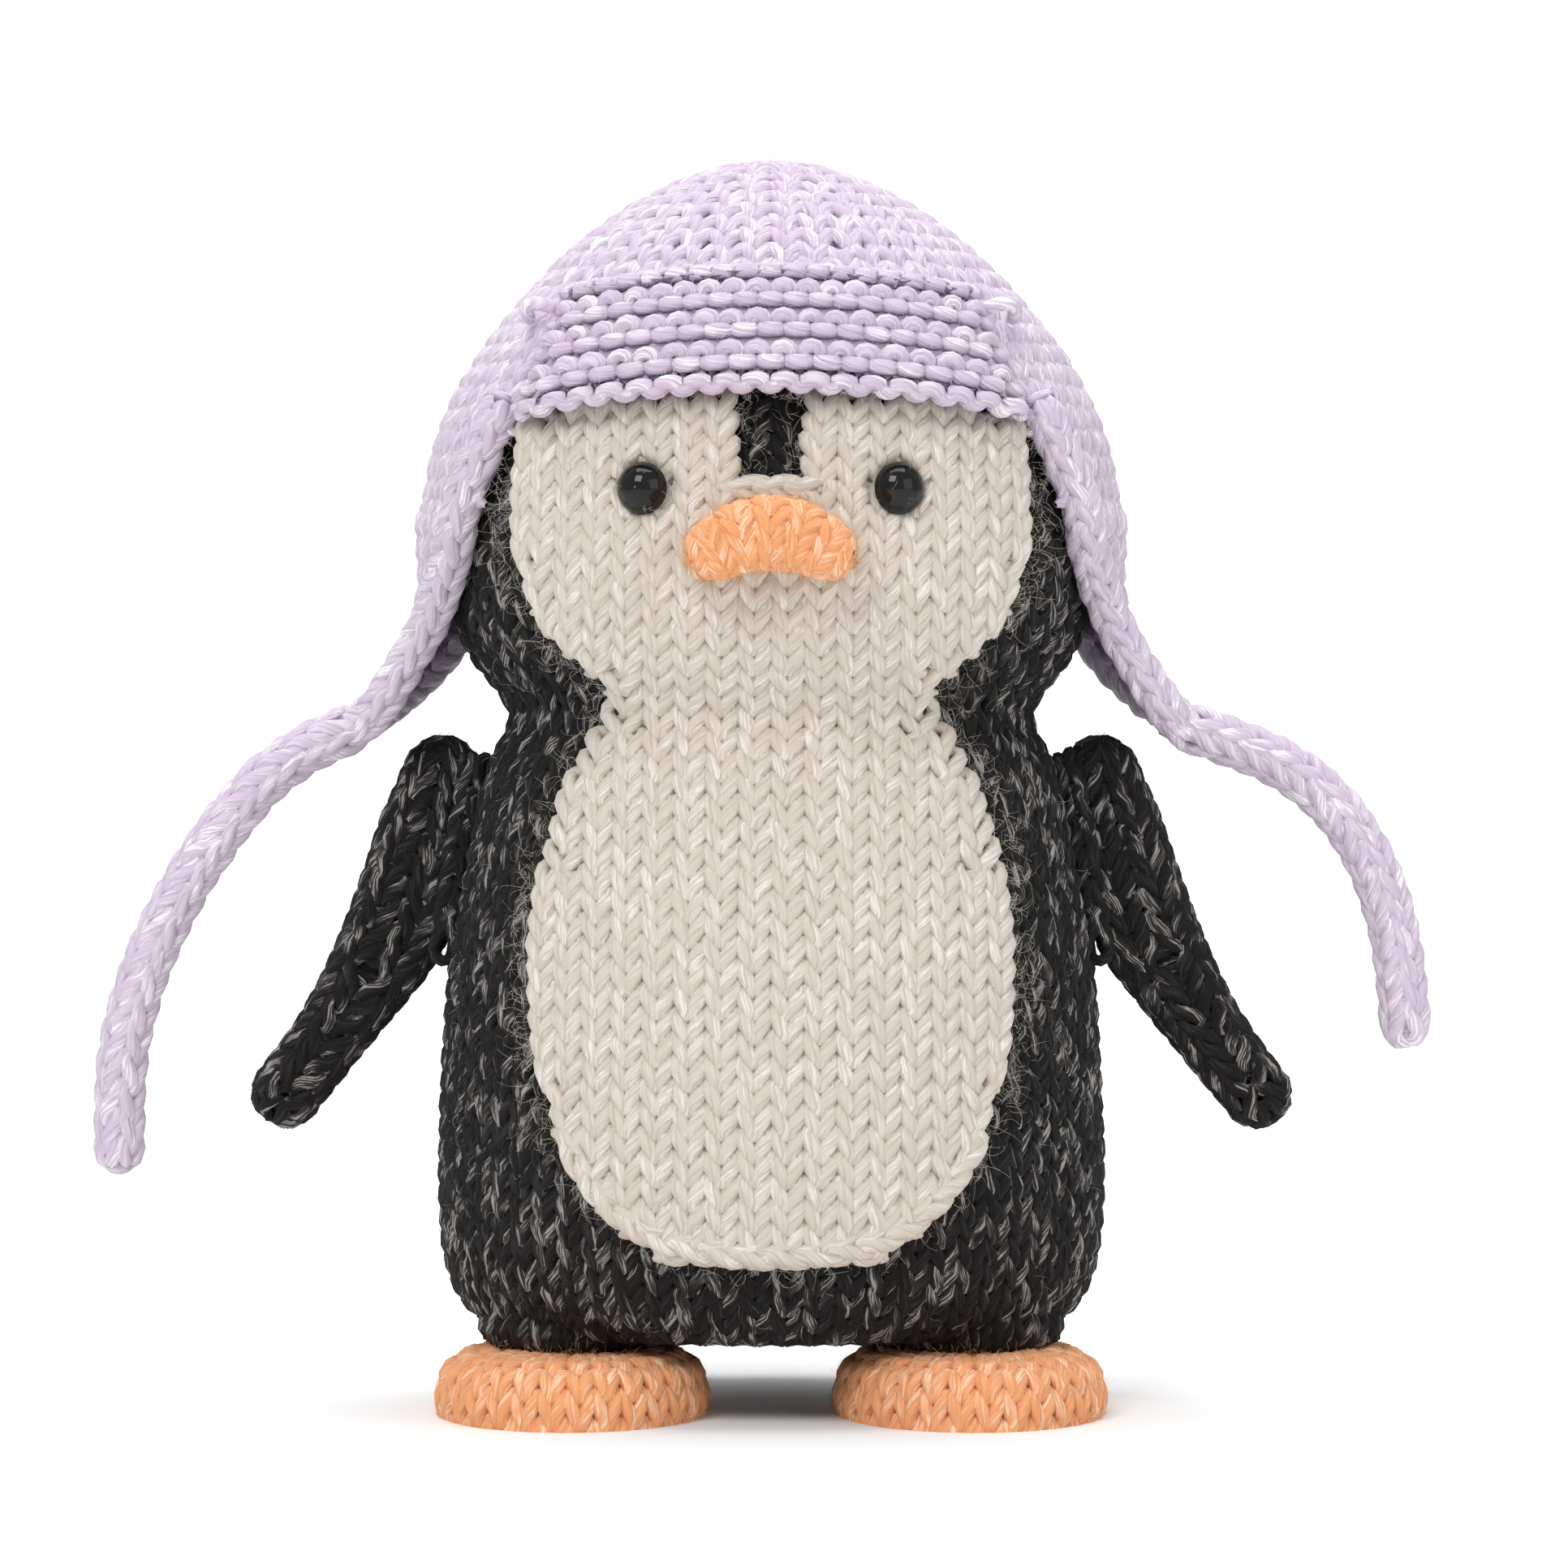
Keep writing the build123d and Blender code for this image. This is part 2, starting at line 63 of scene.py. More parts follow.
camera.rotation_euler = (math.radians(90), 0, 0)
bpy.context.scene.collection.objects.link(camera)
bpy.context.scene.camera = camera
bpy.context.scene.view_settings.view_transform = "Standard"

# ---------------------------------------------------------------- hat ties
# Two lilac cords knitted as narrow tubes of four stitches, that grow out of the earflap tips.
# The penguin's left one is shorter. Each hangs limp, clear of the flipper below it.
mm = 0.001
bag_middle = (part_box("body_cover")[0][1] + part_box("body_cover")[1][1]) / 2
tie_width = 5.2 * mm
tie_shade_core = 1.95 * mm
tie_routes = {
    "right": [(-49.6, 7.0, 82.4), (-56.5, 7.6, 79.4), (-63.0, 8.6, 72.4), (-69.2, 9.4, 63.0),
              (-73.8, 9.8, 52.6), (-76.0, 9.6, 42.5), (-75.9, 9.2, 33.6)],
    "left": [(49.6, 7.0, 82.4), (57.8, 7.8, 79.8), (65.2, 8.8, 74.6), (70.3, 9.4, 66.8),
             (73.2, 9.6, 57.2), (73.9, 9.3, 47.5)],
}


def route_line(name, points):
    """The smooth line of a limp cord, read from a spline through its route."""
    curve = bpy.data.curves.new(name, "CURVE")
    curve.dimensions = "3D"
    curve.resolution_u = 24
    spline = curve.splines.new("NURBS")
    spline.points.add(len(points) - 1)
    for knot, point in zip(spline.points, points):
        knot.co = (*point, 1)
    spline.order_u = 3
    spline.use_endpoint_u = True
    holder = bpy.data.objects.new(name, curve)
    line = np.array([v.co for v in bpy.data.meshes.new_from_object(holder).vertices])
    bpy.data.objects.remove(holder)
    bpy.data.curves.remove(curve)
    return line


def unit(vectors):
    return vectors / np.maximum(np.linalg.norm(vectors, axis=-1, keepdims=True), 1e-12)


def steps_along(line):
    return np.concatenate([[0], np.cumsum(np.linalg.norm(np.diff(line, axis=0), axis=1))])


def stacked(*parts):
    """Numbers from several arrays side by side, each array stretched to the common shape."""
    return np.stack(np.broadcast_arrays(*parts), -1)


def cloth(points, across, along, closed=False, turned=False):
    """A surface to knit on: points in rows, with the place of each column and row."""
    spread = np.gradient(points, axis=1)
    if closed:
        spread[:, 0] = spread[:, -1] = (points[:, 1] - points[:, -2]) / 2
    normals = unit(np.cross(np.gradient(points, axis=0), spread))
    return {"points": points, "normals": -normals if turned else normals,
            "across": np.asarray(across, float), "along": np.asarray(along, float), "closed": closed}


def on_cloth(base, across, along, outwards=0.0):
    """Points on a surface, moved outwards, and the surface's normals there."""
    if base["closed"]:
        across = np.mod(across, 1.0)
    rows, columns = base["points"].shape[:2]
    i = np.interp(along, base["along"], np.arange(rows))
    j = np.interp(across, base["across"], np.arange(columns))
    beyond = np.clip(along - base["along"][-1], 0, None) + np.clip(along - base["along"][0], None, 0)
    low_i, low_j = np.minimum(i.astype(int), rows - 2), np.minimum(j.astype(int), columns - 2)
    share_i, share_j = (i - low_i)[..., None], (j - low_j)[..., None]

    def mixed(table):
        near = table[low_i, low_j] * (1 - share_j) + table[low_i, low_j + 1] * share_j
        far = table[low_i + 1, low_j] * (1 - share_j) + table[low_i + 1, low_j + 1] * share_j
        return near * (1 - share_i) + far * share_i, far - near

    places, climb = mixed(base["points"])
    normals = unit(mixed(base["normals"])[0])
    places = places + unit(climb) * beyond[..., None]
    return places + normals * np.asarray(outwards)[..., None], normals


def tube_cloth(line, radius, round_start=False, round_end=True, turns=24):
    """A tube along a line, with rounded ends, to knit on."""
    tangents = unit(np.gradient(line, axis=0))
    cap_rings = 6
    bend = np.linspace(0, math.pi / 2 - 0.08, cap_rings + 1)[1:]
    shrinking = radius * np.cos(bend)
    side = np.cross(tangents[0], (0, 1, 0.01))
    sides = []
    for tangent in tangents:
        side = unit(side - tangent * np.dot(side, tangent))
        sides.append(side)
    sides = np.array(sides)
    ups = np.cross(tangents, sides)
    radii = np.full(len(line), radius)
    if round_start:
        cap = line[0] - tangents[0] * (np.sin(bend) * radius)[:, None]
        line, radii = np.vstack([cap[::-1], line]), np.append(shrinking[::-1], radii)
        sides, ups = (np.vstack([np.repeat(a[:1], cap_rings, 0), a]) for a in (sides, ups))
    if round_end:
        cap = line[-1] + tangents[-1] * (np.sin(bend) * radius)[:, None]
        line, radii = np.vstack([line, cap]), np.append(radii, shrinking)
        sides, ups = (np.vstack([a, np.repeat(a[-1:], cap_rings, 0)]) for a in (sides, ups))
    angles = np.linspace(0, 2 * math.pi, turns + 1)
    ring = sides[:, None] * np.cos(angles)[:, None] + ups[:, None] * np.sin(angles)[:, None]
    points = line[:, None] + ring * radii[:, None, None]
    base = cloth(points, np.linspace(0, 1, turns + 1), steps_along(points[:, 0]), closed=True)
    if (base["normals"][len(line) // 2] * ring[len(line) // 2]).sum() < 0:
        base["normals"] = -base["normals"]
    return base


def new_piece(name, vertices, faces, yarn, cells, material):
    """A smooth mesh piece; yarn and cells hold one coordinate pair for each face corner."""
    mesh = bpy.data.meshes.new(name)
    mesh.from_pydata(vertices, [], faces)
    for title, pairs in (("Yarn", yarn), ("OFBake", cells)):
        layer = mesh.uv_layers.new(name=title)
        layer.uv.foreach_set("vector", np.asarray(pairs, np.float32).ravel())
    mesh.materials.append(material)
    mesh.shade_smooth()
    piece = bpy.data.objects.new(name, mesh)
    bpy.context.scene.collection.objects.link(piece)
    return piece


# How much one stitch differs from the next: across, along, outwards and in thickness
uneven_across, uneven_along, uneven_out, uneven_thick = 0.03, 0.07, 0.08, 0.05


def knit(name, base, rows, thick, material, relief, lift=0.0, purl=False, lean=0.30, rings=16, sides=8,
         seed=1):
    """Rows of yarn loops on a surface. A row is (place along, rise, edges of its stitches, closed).

    Knit stitches show their legs in front, purl stitches the loops' heads."""
    wave = np.arange(rings) * 2 * math.pi / rings
    swell = (1 - np.cos(wave)) / 2
    vertices, faces, along_yarn, cells, total = [], [], [], [], 0
    stitches = sum(len(edges) - 1 for _, _, edges, _ in rows)
    cells_wide = math.ceil(math.sqrt(stitches / 2.4))
    cells_high = math.ceil(stitches / cells_wide)
    done = 0
    chance = np.random.default_rng(seed)
    around = np.arange(sides) * 2 * math.pi / sides
    for place, rise, edges, closed in rows:
        edges = np.asarray(edges, float)
        count = len(edges) - 1
        width = np.diff(edges)[:, None]
        across = edges[:-1, None] + width * (wave / (2 * math.pi) + lean * np.sin(2 * wave)
                                             + chance.normal(0, uneven_across, (count, 1)) * swell)
        along = place - rise * np.cos(wave)[None]
        along = along + chance.normal(0, uneven_along * rise, (count, 1)) * swell
        out = relief * (np.cos(2 * wave) if purl else 0.45 * np.cos(wave) - np.cos(2 * wave))[None]
        out = out + chance.normal(0, uneven_out * thick, (count, 1)) * swell
        plump = chance.normal(0, uneven_thick, (count, 1)) * swell
        plump = thick * (1 + plump - 0.07 * np.cos(2 * wave)[None])
        across, along, out, plump = across.ravel(), along.ravel(), out.ravel(), plump.ravel()
        if not closed:
            across, along = np.append(across, edges[-1]), np.append(along, place - rise)
            out, plump = np.append(out, out[0]), np.append(plump, plump[0])
            plump[[0, -1]] *= 0.35
            plump[[1, -2]] *= 0.85
        centres, normals = on_cloth(base, across, along, out + lift)
        if closed:
            tangents = np.roll(centres, -1, 0) - np.roll(centres, 1, 0)
        else:
            tangents = np.gradient(centres, axis=0)
        tangents = unit(tangents)
        beside = unit(np.cross(tangents, normals))
        above = np.cross(beside, tangents)
        rim = -above[:, None] * np.cos(around)[:, None] + beside[:, None] * np.sin(around)[:, None]
        vertices.append((centres[:, None] + rim * plump[:, None, None]).reshape(-1, 3))
        length = len(centres)
        first = np.arange(length if closed else length - 1)
        start, end = first[:, None] * sides, ((first + 1) % length)[:, None] * sides
        k = np.arange(sides)
        next_k = (k + 1) % sides
        quads = stacked(start + k, end + k, end + next_k, start + next_k)
        faces.append(quads.reshape(-1, 4) + total)
        total += length * sides
        yarn = np.append(steps_along(centres), 0)
        yarn[-1] = yarn[-2] + np.linalg.norm(centres[-1] - centres[0])
        yarn = yarn / mm + chance.uniform(0, 400)
        low, high = yarn[first][:, None], yarn[first + 1][:, None]
        v_low, v_high = k / sides, (k + 1) / sides
        v = stacked(v_low, v_low, v_high, v_high)
        along_yarn.append(stacked(stacked(low, high, high, low) * np.ones((1, sides, 1)), v).reshape(-1, 2))
        stitch = np.minimum(first // rings, count - 1)
        low = ((first - stitch * rings) / rings)[:, None]
        high = ((first + 1 - stitch * rings) / rings)[:, None]
        stitch = (stitch + done)[:, None, None]
        u = stacked(low, high, high, low) * np.ones((1, sides, 1))
        u = (stitch % cells_wide + 0.04 + 0.92 * u) / cells_wide
        v = (stitch // cells_wide + 0.06 + 0.88 * v) / cells_high
        cells.append(stacked(u, v).reshape(-1, 2))
        done += count
    return new_piece(name, np.concatenate(vertices), np.concatenate(faces).tolist(),
                     np.concatenate(along_yarn), np.concatenate(cells), material)


def ring_rows(first, last, pitch, rise, stitches):
    """Closed rows, all with the same number of stitches."""
    return [(place, rise, np.linspace(0, 1, stitches + 1) + 0.5 / stitches, True)
            for place in np.arange(first, last, pitch)]


def backing(name, base, depth, material, cap_start=False, cap_end=False, turn_of_yarn=0.0):
    """A plain layer of cloth under the loops, which at a turn of yarn of 0 takes the painted shade colour so
    that the gaps between loops look shaded, or a plain strand at half a turn of yarn, in the lit colour of
    the yarn's front.
    """
    points = base["points"] - base["normals"] * depth
    rows, columns = points.shape[:2]
    i, j = np.meshgrid(np.arange(rows - 1), np.arange(columns - 1), indexing="ij")
    corners = [(i, j), (i, j + 1), (i + 1, j + 1), (i + 1, j)]
    if (np.cross(points[rows // 2, 1] - points[rows // 2, 0],
                 points[rows // 2 + 1, 0] - points[rows // 2, 0]) * base["normals"][rows // 2, 0]).sum() < 0:
        corners = corners[::-1]
    width = columns - 1 if base["closed"] else columns
    quads = np.stack([a * width + b % width for a, b in corners], -1).reshape(-1, 4)
    # How far round the yarn its colour is read: near 0 gives the painted shade of the yarn's back, near half
    # a turn its lit front
    turn_at = turn_of_yarn + 0.12 * np.sin(base["across"] * 2 * math.pi)
    yarn = np.stack([stacked(base["along"][a] / mm, turn_at[b]) for a, b in corners], 2).reshape(-1, 2)
    cells = np.stack([stacked(b / (columns - 1), a / (rows - 1)) for a, b in corners], 2).reshape(-1, 2)
    faces = quads.tolist()
    vertices = points[:, :width].reshape(-1, 3)
    same_way = corners[0][1] is corners[3][1]
    for wanted, row in ((cap_start, 0), (cap_end, rows - 1)):
        if wanted:
            middle = len(vertices)
            vertices = np.vstack([vertices, vertices[row * width:(row + 1) * width].mean(0)])
            for b in range(width):
                pair = (row * width + b, row * width + (b + 1) % width)
                faces.append([*(pair if (row == 0) == same_way else pair[::-1]), middle])
                yarn = np.vstack([yarn, [[b, turn_of_yarn], [b + 1, turn_of_yarn], [b, turn_of_yarn]]])
                near, far = b / width, (b + 1) / width
                cells = np.vstack([cells, [[near, row / rows], [far, row / rows], [near, 0.5]]])
    return new_piece(name, vertices, faces, yarn, np.clip(cells, 0.002, 0.998), material)


def spun_wool():
    """Twisted wool: plies that wind round the yarn, some of them pale, with fine fibres. Its pale streaks are
    partly pale fibres and partly painted highlights, and its back and the valleys between plies get painted
    shade.

    It reads the Yarn map: millimetres along the yarn, and the share of the way round it."""
    group = bpy.data.node_groups.new("spun wool", "ShaderNodeTree")
    for title, kind, way in (
            ("Main", "Color", "INPUT"), ("Pale And Highlight", "Color", "INPUT"), ("Painted Shade", "Color", "INPUT"),
            ("Marl", "Float", "INPUT"), ("Streaks", "Float", "INPUT"), ("Plies", "Float", "INPUT"),
            ("Twist", "Float", "INPUT"), ("Colour", "Color", "OUTPUT"), ("Roughness", "Float", "OUTPUT"),
            ("Height", "Float", "OUTPUT")):
        group.interface.new_socket(title, in_out=way, socket_type=f"NodeSocket{kind}")
    make, link = group.nodes.new, group.links.new
    given, result = make("NodeGroupInput"), make("NodeGroupOutput")

    def feed(node, values):
        for socket, value in zip(node.inputs, values):
            if isinstance(value, (int, float)):
                socket.default_value = value
            else:
                link(value, socket)

    def worked(kind, *values):
        node = make("ShaderNodeMath")
        node.operation = kind
        feed(node, values)
        return node.outputs[0]

    def times(a, b):
        return worked("MULTIPLY", a, b)

    def plus(a, b):
        return worked("ADD", a, b)

    def noise(x, y, detail, z=0.0):
        joined = make("ShaderNodeCombineXYZ")
        feed(joined, (x, y, z))
        node = make("ShaderNodeTexNoise")
        node.inputs["Scale"].default_value = 1
        node.inputs["Detail"].default_value = detail
        link(joined.outputs[0], node.inputs["Vector"])
        return node.outputs["Fac"]

    def ranged(value, low, high, to_low=0.0, to_high=1.0):
        node = make("ShaderNodeMapRange")
        node.interpolation_type = "SMOOTHSTEP"
        for socket, number in zip(node.inputs[1:5], (low, high, to_low, to_high)):
            socket.default_value = number
        link(value, node.inputs[0])
        return node.outputs[0]

    def mixed(share, a, b):
        node = make("ShaderNodeMix")
        node.data_type = "RGBA"
        for socket, value in ((node.inputs[0], share), (node.inputs[6], a), (node.inputs[7], b)):
            link(value, socket)
        return node.outputs[2]

    place = make("ShaderNodeUVMap")
    place.uv_map = "Yarn"
    parts = make("ShaderNodeSeparateXYZ")
    link(place.outputs[0], parts.inputs[0])
    along, round_it = parts.outputs[0], parts.outputs[1]
    wound = plus(times(round_it, given.outputs["Plies"]), times(along, given.outputs["Twist"]))
    ply = worked("FLOOR", wound)
    ridge = worked("POWER", worked("SINE", times(worked("FRACT", wound), math.pi)), 0.6)
    # Fibres lie along the plies, so their noise is stretched that way
    fibre = noise(times(along, 0.5), times(wound, 5.5), 3, times(ply, 3.7))
    strand = noise(times(along, 0.35), times(wound, 2.4), 1, ply)
    patch = noise(times(along, 0.11), times(ply, 5.3), 0)
    more_marl = times(worked("SUBTRACT", given.outputs["Marl"], 0.5), 0.5)
    pale_ply = ranged(plus(patch, more_marl), 0.52, 0.60)
    # Partly painted highlight: pale streaks along the plies stand both for pale fibres and for glints of
    # light on the yarn
    streak = times(ranged(strand, 0.5, 0.66), given.outputs["Streaks"])
    paleness = times(pale_ply, plus(times(ranged(fibre, 0.49, 0.58), 0.94), 0.06))
    paleness = worked("MINIMUM", plus(paleness, streak), 1.0)
    colour = mixed(paleness, given.outputs["Main"], given.outputs["Pale And Highlight"])
    # Painted shade: the back of the loops, turned into the cloth, and the valleys between plies are mixed
    # towards the shade colour, where they would take little light
    front = ranged(worked("COSINE", times(plus(round_it, 0.5), 2 * math.pi)), -0.75, 0.55)
    valley = ranged(ridge, 0.2, 0.7, 0.82, 1.0)
    colour = mixed(times(front, valley), given.outputs["Painted Shade"], colour)
    height = plus(times(ridge, 0.30), times(fibre, 0.8))
    link(colour, result.inputs["Colour"])
    link(ranged(fibre, 0.3, 0.7, 0.78, 0.96), result.inputs["Roughness"])
    link(height, result.inputs["Height"])
    return group


wool = spun_wool()


def wool_finish(name, main, pale, painted_shade, marl, streaks_and_glints, sheen, sheen_tint, plies=4.0, depth=0.00028):
    """A material of spun wool; sheen stands for the short fibres that catch the light. Its third colour is
    painted shade for the yarn's back and the gaps between loops, and its second is partly pale fibre, partly
    painted highlight.
    """
    material = bpy.data.materials.new(name)
    material.use_nodes = True
    nodes, link = material.node_tree.nodes, material.node_tree.links.new
    shader = nodes["Principled BSDF"]
    spun = nodes.new("ShaderNodeGroup")
    spun.node_tree = wool
    for title, value in (("Main", (*main, 1)), ("Pale And Highlight", (*pale, 1)), ("Painted Shade", (*painted_shade, 1)), ("Marl", marl),
                         ("Streaks", streaks_and_glints), ("Plies", plies), ("Twist", 0.3)):
        spun.inputs[title].default_value = value
    bump = nodes.new("ShaderNodeBump")
    bump.inputs["Distance"].default_value = depth
    bump.inputs["Strength"].default_value = 0.9
    link(spun.outputs["Colour"], shader.inputs["Base Color"])
    link(spun.outputs["Roughness"], shader.inputs["Roughness"])
    link(spun.outputs["Height"], bump.inputs["Height"])
    link(bump.outputs[0], shader.inputs["Normal"])
    shader.inputs["Sheen Weight"].default_value = sheen
    shader.inputs["Sheen Roughness"].default_value = 0.5
    shader.inputs["Sheen Tint"].default_value = (*sheen_tint, 1)
    shader.inputs["Specular IOR Level"].default_value = 0.25
    material.diffuse_color = (*main, 1)
    return material


# The third colour is painted shade; the second is partly pale fibre and partly painted highlight
lilac_wool = wool_finish("lilac wool", (0.60, 0.505, 0.625), (0.86, 0.82, 0.87), (0.20, 0.145, 0.25), 0.47,
                         0.40, 0.10, (0.95, 0.92, 1.0))


def fuzz_on(name, base, count, length, thick, material, seeds, keep=None, along=None, lift=0.0, curl=1.0,
            lean=0.9):
    """Fine curled hairs of wool, rooted at random on a surface wherever keep() allows."""
    chance = np.random.default_rng(seeds[0])
    along = along or (base["along"][0], base["along"][-1])
    roots, normals = on_cloth(base, chance.uniform(base["across"][0], base["across"][-1], count),
                              chance.uniform(*along, count), lift)
    if keep is not None:
        kept = np.array([keep(Vector(p)) for p in roots], bool)
        roots, normals = roots[kept], normals[kept]
    steps = 6
    chance = np.random.default_rng(seeds[1])
    count = len(roots)
    heading = unit(normals + lean * chance.normal(0, 0.6, (count, 3)))
    bend_about = unit(chance.normal(0, 1, (count, 3)))
    reach = length * chance.uniform(0.35, 1.0, (count, 1)) ** 1.5
    bend = curl * chance.uniform(0.2, 1.0, (count, 1)) * 2.6 / steps
    points = [roots]
    for _ in range(steps):
        stray = 0.10 * chance.normal(0, 1, (count, 3))
        heading = unit(heading + bend * np.cross(bend_about, heading) + stray)
        points.append(points[-1] + heading * reach / steps)
    points = np.stack(points, 1)
    tangents = unit(np.gradient(points, axis=1))
    aside = unit(np.cross(tangents, bend_about[:, None] + 0.01))
    over = np.cross(tangents, aside)
    taper = thick * np.linspace(1, 0.45, steps + 1)
    turns = np.arange(3) * 2 * math.pi / 3
    ring = aside[:, :, None] * np.cos(turns)[:, None] + over[:, :, None] * np.sin(turns)[:, None]
    vertices = (points[:, :, None] + ring * taper[None, :, None, None]).reshape(-1, 3)
    hair, step, k = np.meshgrid(np.arange(count), np.arange(steps), np.arange(3), indexing="ij")
    base = (hair * (steps + 1) + step) * 3
    faces = np.stack([base + k, base + (k + 1) % 3, base + 3 + (k + 1) % 3, base + 3 + k], -1).reshape(-1, 4)
    side = math.ceil(math.sqrt(count))
    corner_k = k[..., None] + np.array([0, 1, 1, 0])
    corner_s = step[..., None] + np.array([0, 0, 1, 1])
    cells = np.stack([(hair[..., None] % side + 0.1 + 0.8 * corner_k / 3) / side,
                      (hair[..., None] // side + 0.1 + 0.8 * corner_s / steps) / side], -1).reshape(-1, 2)
    yarn = np.stack([hair[..., None] * 1.7 + corner_s * 0.4, corner_k / 3], -1).reshape(-1, 2)
    return new_piece(name, vertices, faces.tolist(), yarn, cells, material)


def fibre_finish(name, colour):
    """Single hairs: the wool's own colour, a little lighter and darker from hair to hair."""
    material = bpy.data.materials.new(name)
    material.use_nodes = True
    nodes, link = material.node_tree.nodes, material.node_tree.links.new
    shader = nodes["Principled BSDF"]
    place = nodes.new("ShaderNodeUVMap")
    place.uv_map = "Yarn"
    noise = nodes.new("ShaderNodeTexNoise")
    noise.inputs["Scale"].default_value = 0.8
    ramp = nodes.new("ShaderNodeValToRGB")
    dark, light = ramp.color_ramp.elements
    dark.position, light.position = 0.35, 0.65
    dark.color = (*[c * 0.65 for c in colour], 1)
    light.color = (*[min(1, c * 1.25 + 0.02) for c in colour], 1)
    link(place.outputs[0], noise.inputs["Vector"])
    link(noise.outputs["Fac"], ramp.inputs[0])
    link(ramp.outputs[0], shader.inputs["Base Color"])
    shader.inputs["Roughness"].default_value = 0.75
    material.diffuse_color = (*colour, 1)
    return material


lilac_fibre = fibre_finish("lilac fibre", (0.80, 0.70, 0.88))

for side_name in ("right", "left"):
    route = [(x * mm, bag_middle - forward * mm, z * mm) for x, forward, z in tie_routes[side_name]]
    line = route_line(f"tie_route_{side_name}", route)
    # Painted shade: the core inside the cord is read well round towards the yarn's back, so much of it takes
    # the shade colour seen between the cord's loops
    core = backing(f"tie_shade_core_{side_name}", tube_cloth(line, tie_shade_core), 0.0, lilac_wool, cap_start=True,
                   cap_end=True, turn_of_yarn=0.2)
    loop_cloth = tube_cloth(line, tie_width / 2 - 0.75 * mm)
    tie_rows = ring_rows(1.5 * mm, loop_cloth["along"][-1] - 1.0 * mm, 3.3 * mm, 3.0 * mm, 4)
    loops = knit(f"tie_knit_{side_name}", loop_cloth, tie_rows, 0.98 * mm, lilac_wool, 0.3 * mm, seed=11)
    fuzz = fuzz_on(f"tie_fuzz_{side_name}", loop_cloth, 260, 2.0 * mm, 0.02 * mm, lilac_fibre, (5, 6),
                   lift=0.6 * mm)
    for piece in (core, loops, fuzz):
        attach(piece, f"tie_{side_name}")
    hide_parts(f"tie_{side_name}")

# ---------------------------------------------------------------- body and head
# One bag of charcoal wool with pale flecks, knitted in the round from the legs to the top of the
# head, stuffed with fibre and drawn in at the neck.
row_pitch = 2.7 * mm
row_overlap = 0.86
stitch_width = 3.7 * mm
yarn_thick = 0.90 * mm
body_relief = 0.5 * mm
dome_height = 102.0 * mm
# The third colour is painted shade; the grey second colour is partly pale fibre and partly painted highlight
black_wool = wool_finish("black wool", (0.009, 0.008, 0.0075), (0.34, 0.325, 0.31), (0.002, 0.002, 0.002),
                         0.46, 0.05, 0.02, (0.8, 0.8, 0.85), plies=5.0, depth=0.0003)
black_fibre = fibre_finish("black fibre", (0.035, 0.032, 0.03))
grey_fibre = fibre_finish("grey fibre", (0.55, 0.53, 0.50))
trees = {}


def felt(node, start, way, reach):
    """Where a ray first meets a CAD piece, or None."""
    if node not in trees:
        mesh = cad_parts[node].data
        trees[node] = BVHTree.FromPolygons([v.co for v in mesh.vertices], [p.vertices for p in mesh.polygons])
    return trees[node].ray_cast(Vector(start), Vector(way), reach)[0]


def felt_inwards(node, centre, way, reach):
    """The outside of a CAD piece, felt from a distance towards a point within it."""
    return felt(node, centre + way * reach, -way, reach)


def felt_from_front(node, x, z, reach=0.1):
    return felt(node, (x, -0.1, z), (0, 1, 0), reach)


# Round pieces are felt at this many steps to a quarter turn, and are nine tenths as deep as wide
quarter = 24
bag_squash = 0.9


def round_cloth(node, heights, top_middle, tilts=22):
    """The outside of a round CAD piece: a quarter of it, felt all over, mirrored to each side and back."""
    turns = 4 * quarter
    places = [((0, bag_middle, z), 0.0) for z in heights]
    places += [((0, bag_middle, top_middle), tilt) for tilt in np.linspace(0, math.pi / 2, tilts + 1)[1:]]
    hits = np.zeros((len(places), quarter + 1, 3))
    for row, (centre, tilt) in enumerate(places):
        for k in range(quarter + 1):
            turn = math.pi / 2 * k / quarter
            way = Vector((math.sin(turn) * math.cos(tilt), bag_squash * math.cos(turn) * math.cos(tilt),
                          math.sin(tilt))).normalized()
            hits[row, k] = felt_inwards(node, Vector(centre), way, 0.12)
    hits[-1] = hits[-1].mean(0)
    hits[-1, :, :2] = (0, bag_middle)
    points = np.zeros((len(places), turns + 1, 3))
    for j in range(turns + 1):
        k, way_x, way_y = j % turns, 1, 1
        if k > turns // 2:
            k, way_x = turns - k, -1
        if k > quarter:
            k, way_y = turns // 2 - k, -1
        points[:, j] = hits[:, k]
        points[:, j, 0] *= way_x
        points[:, j, 1] = bag_middle + way_y * (points[:, j, 1] - bag_middle)
    edge = (steps_along(points[:, 0]) + steps_along(points[:, quarter])) / 2
    base = cloth(points, np.linspace(0, 1, turns + 1), edge, closed=True)
    base["normals"][-1] = (0, 0, 1)
    return base


def kept_runs(base, place, rise, stitches, keep):
    """A closed row's stitches, less those that keep() refuses, as runs of loops."""
    edges = np.linspace(0, 1, stitches + 1)
    middles, _ = on_cloth(base, edges[:-1] + 0.5 / stitches, np.full(stitches, place))
    kept = [keep(Vector(p)) for p in middles]
    if all(kept):
        return [(place, rise, edges, True)]
    if not any(kept):
        return []
    start = kept.index(False)
    runs, run = [], []
    for step in range(1, stitches + 1):
        j = start + step
        if kept[j % stitches]:
            run = run or [j / stitches]
            run.append((j + 1) / stitches)
        elif run:
            runs.append((place, rise, run, False))
            run = []
    if run:
        runs.append((place, rise, run, False))
    return runs


def girth(base, place):
    ring, _ = on_cloth(base, np.linspace(0, 1, 97), np.full(97, place))
    return steps_along(ring)[-1]


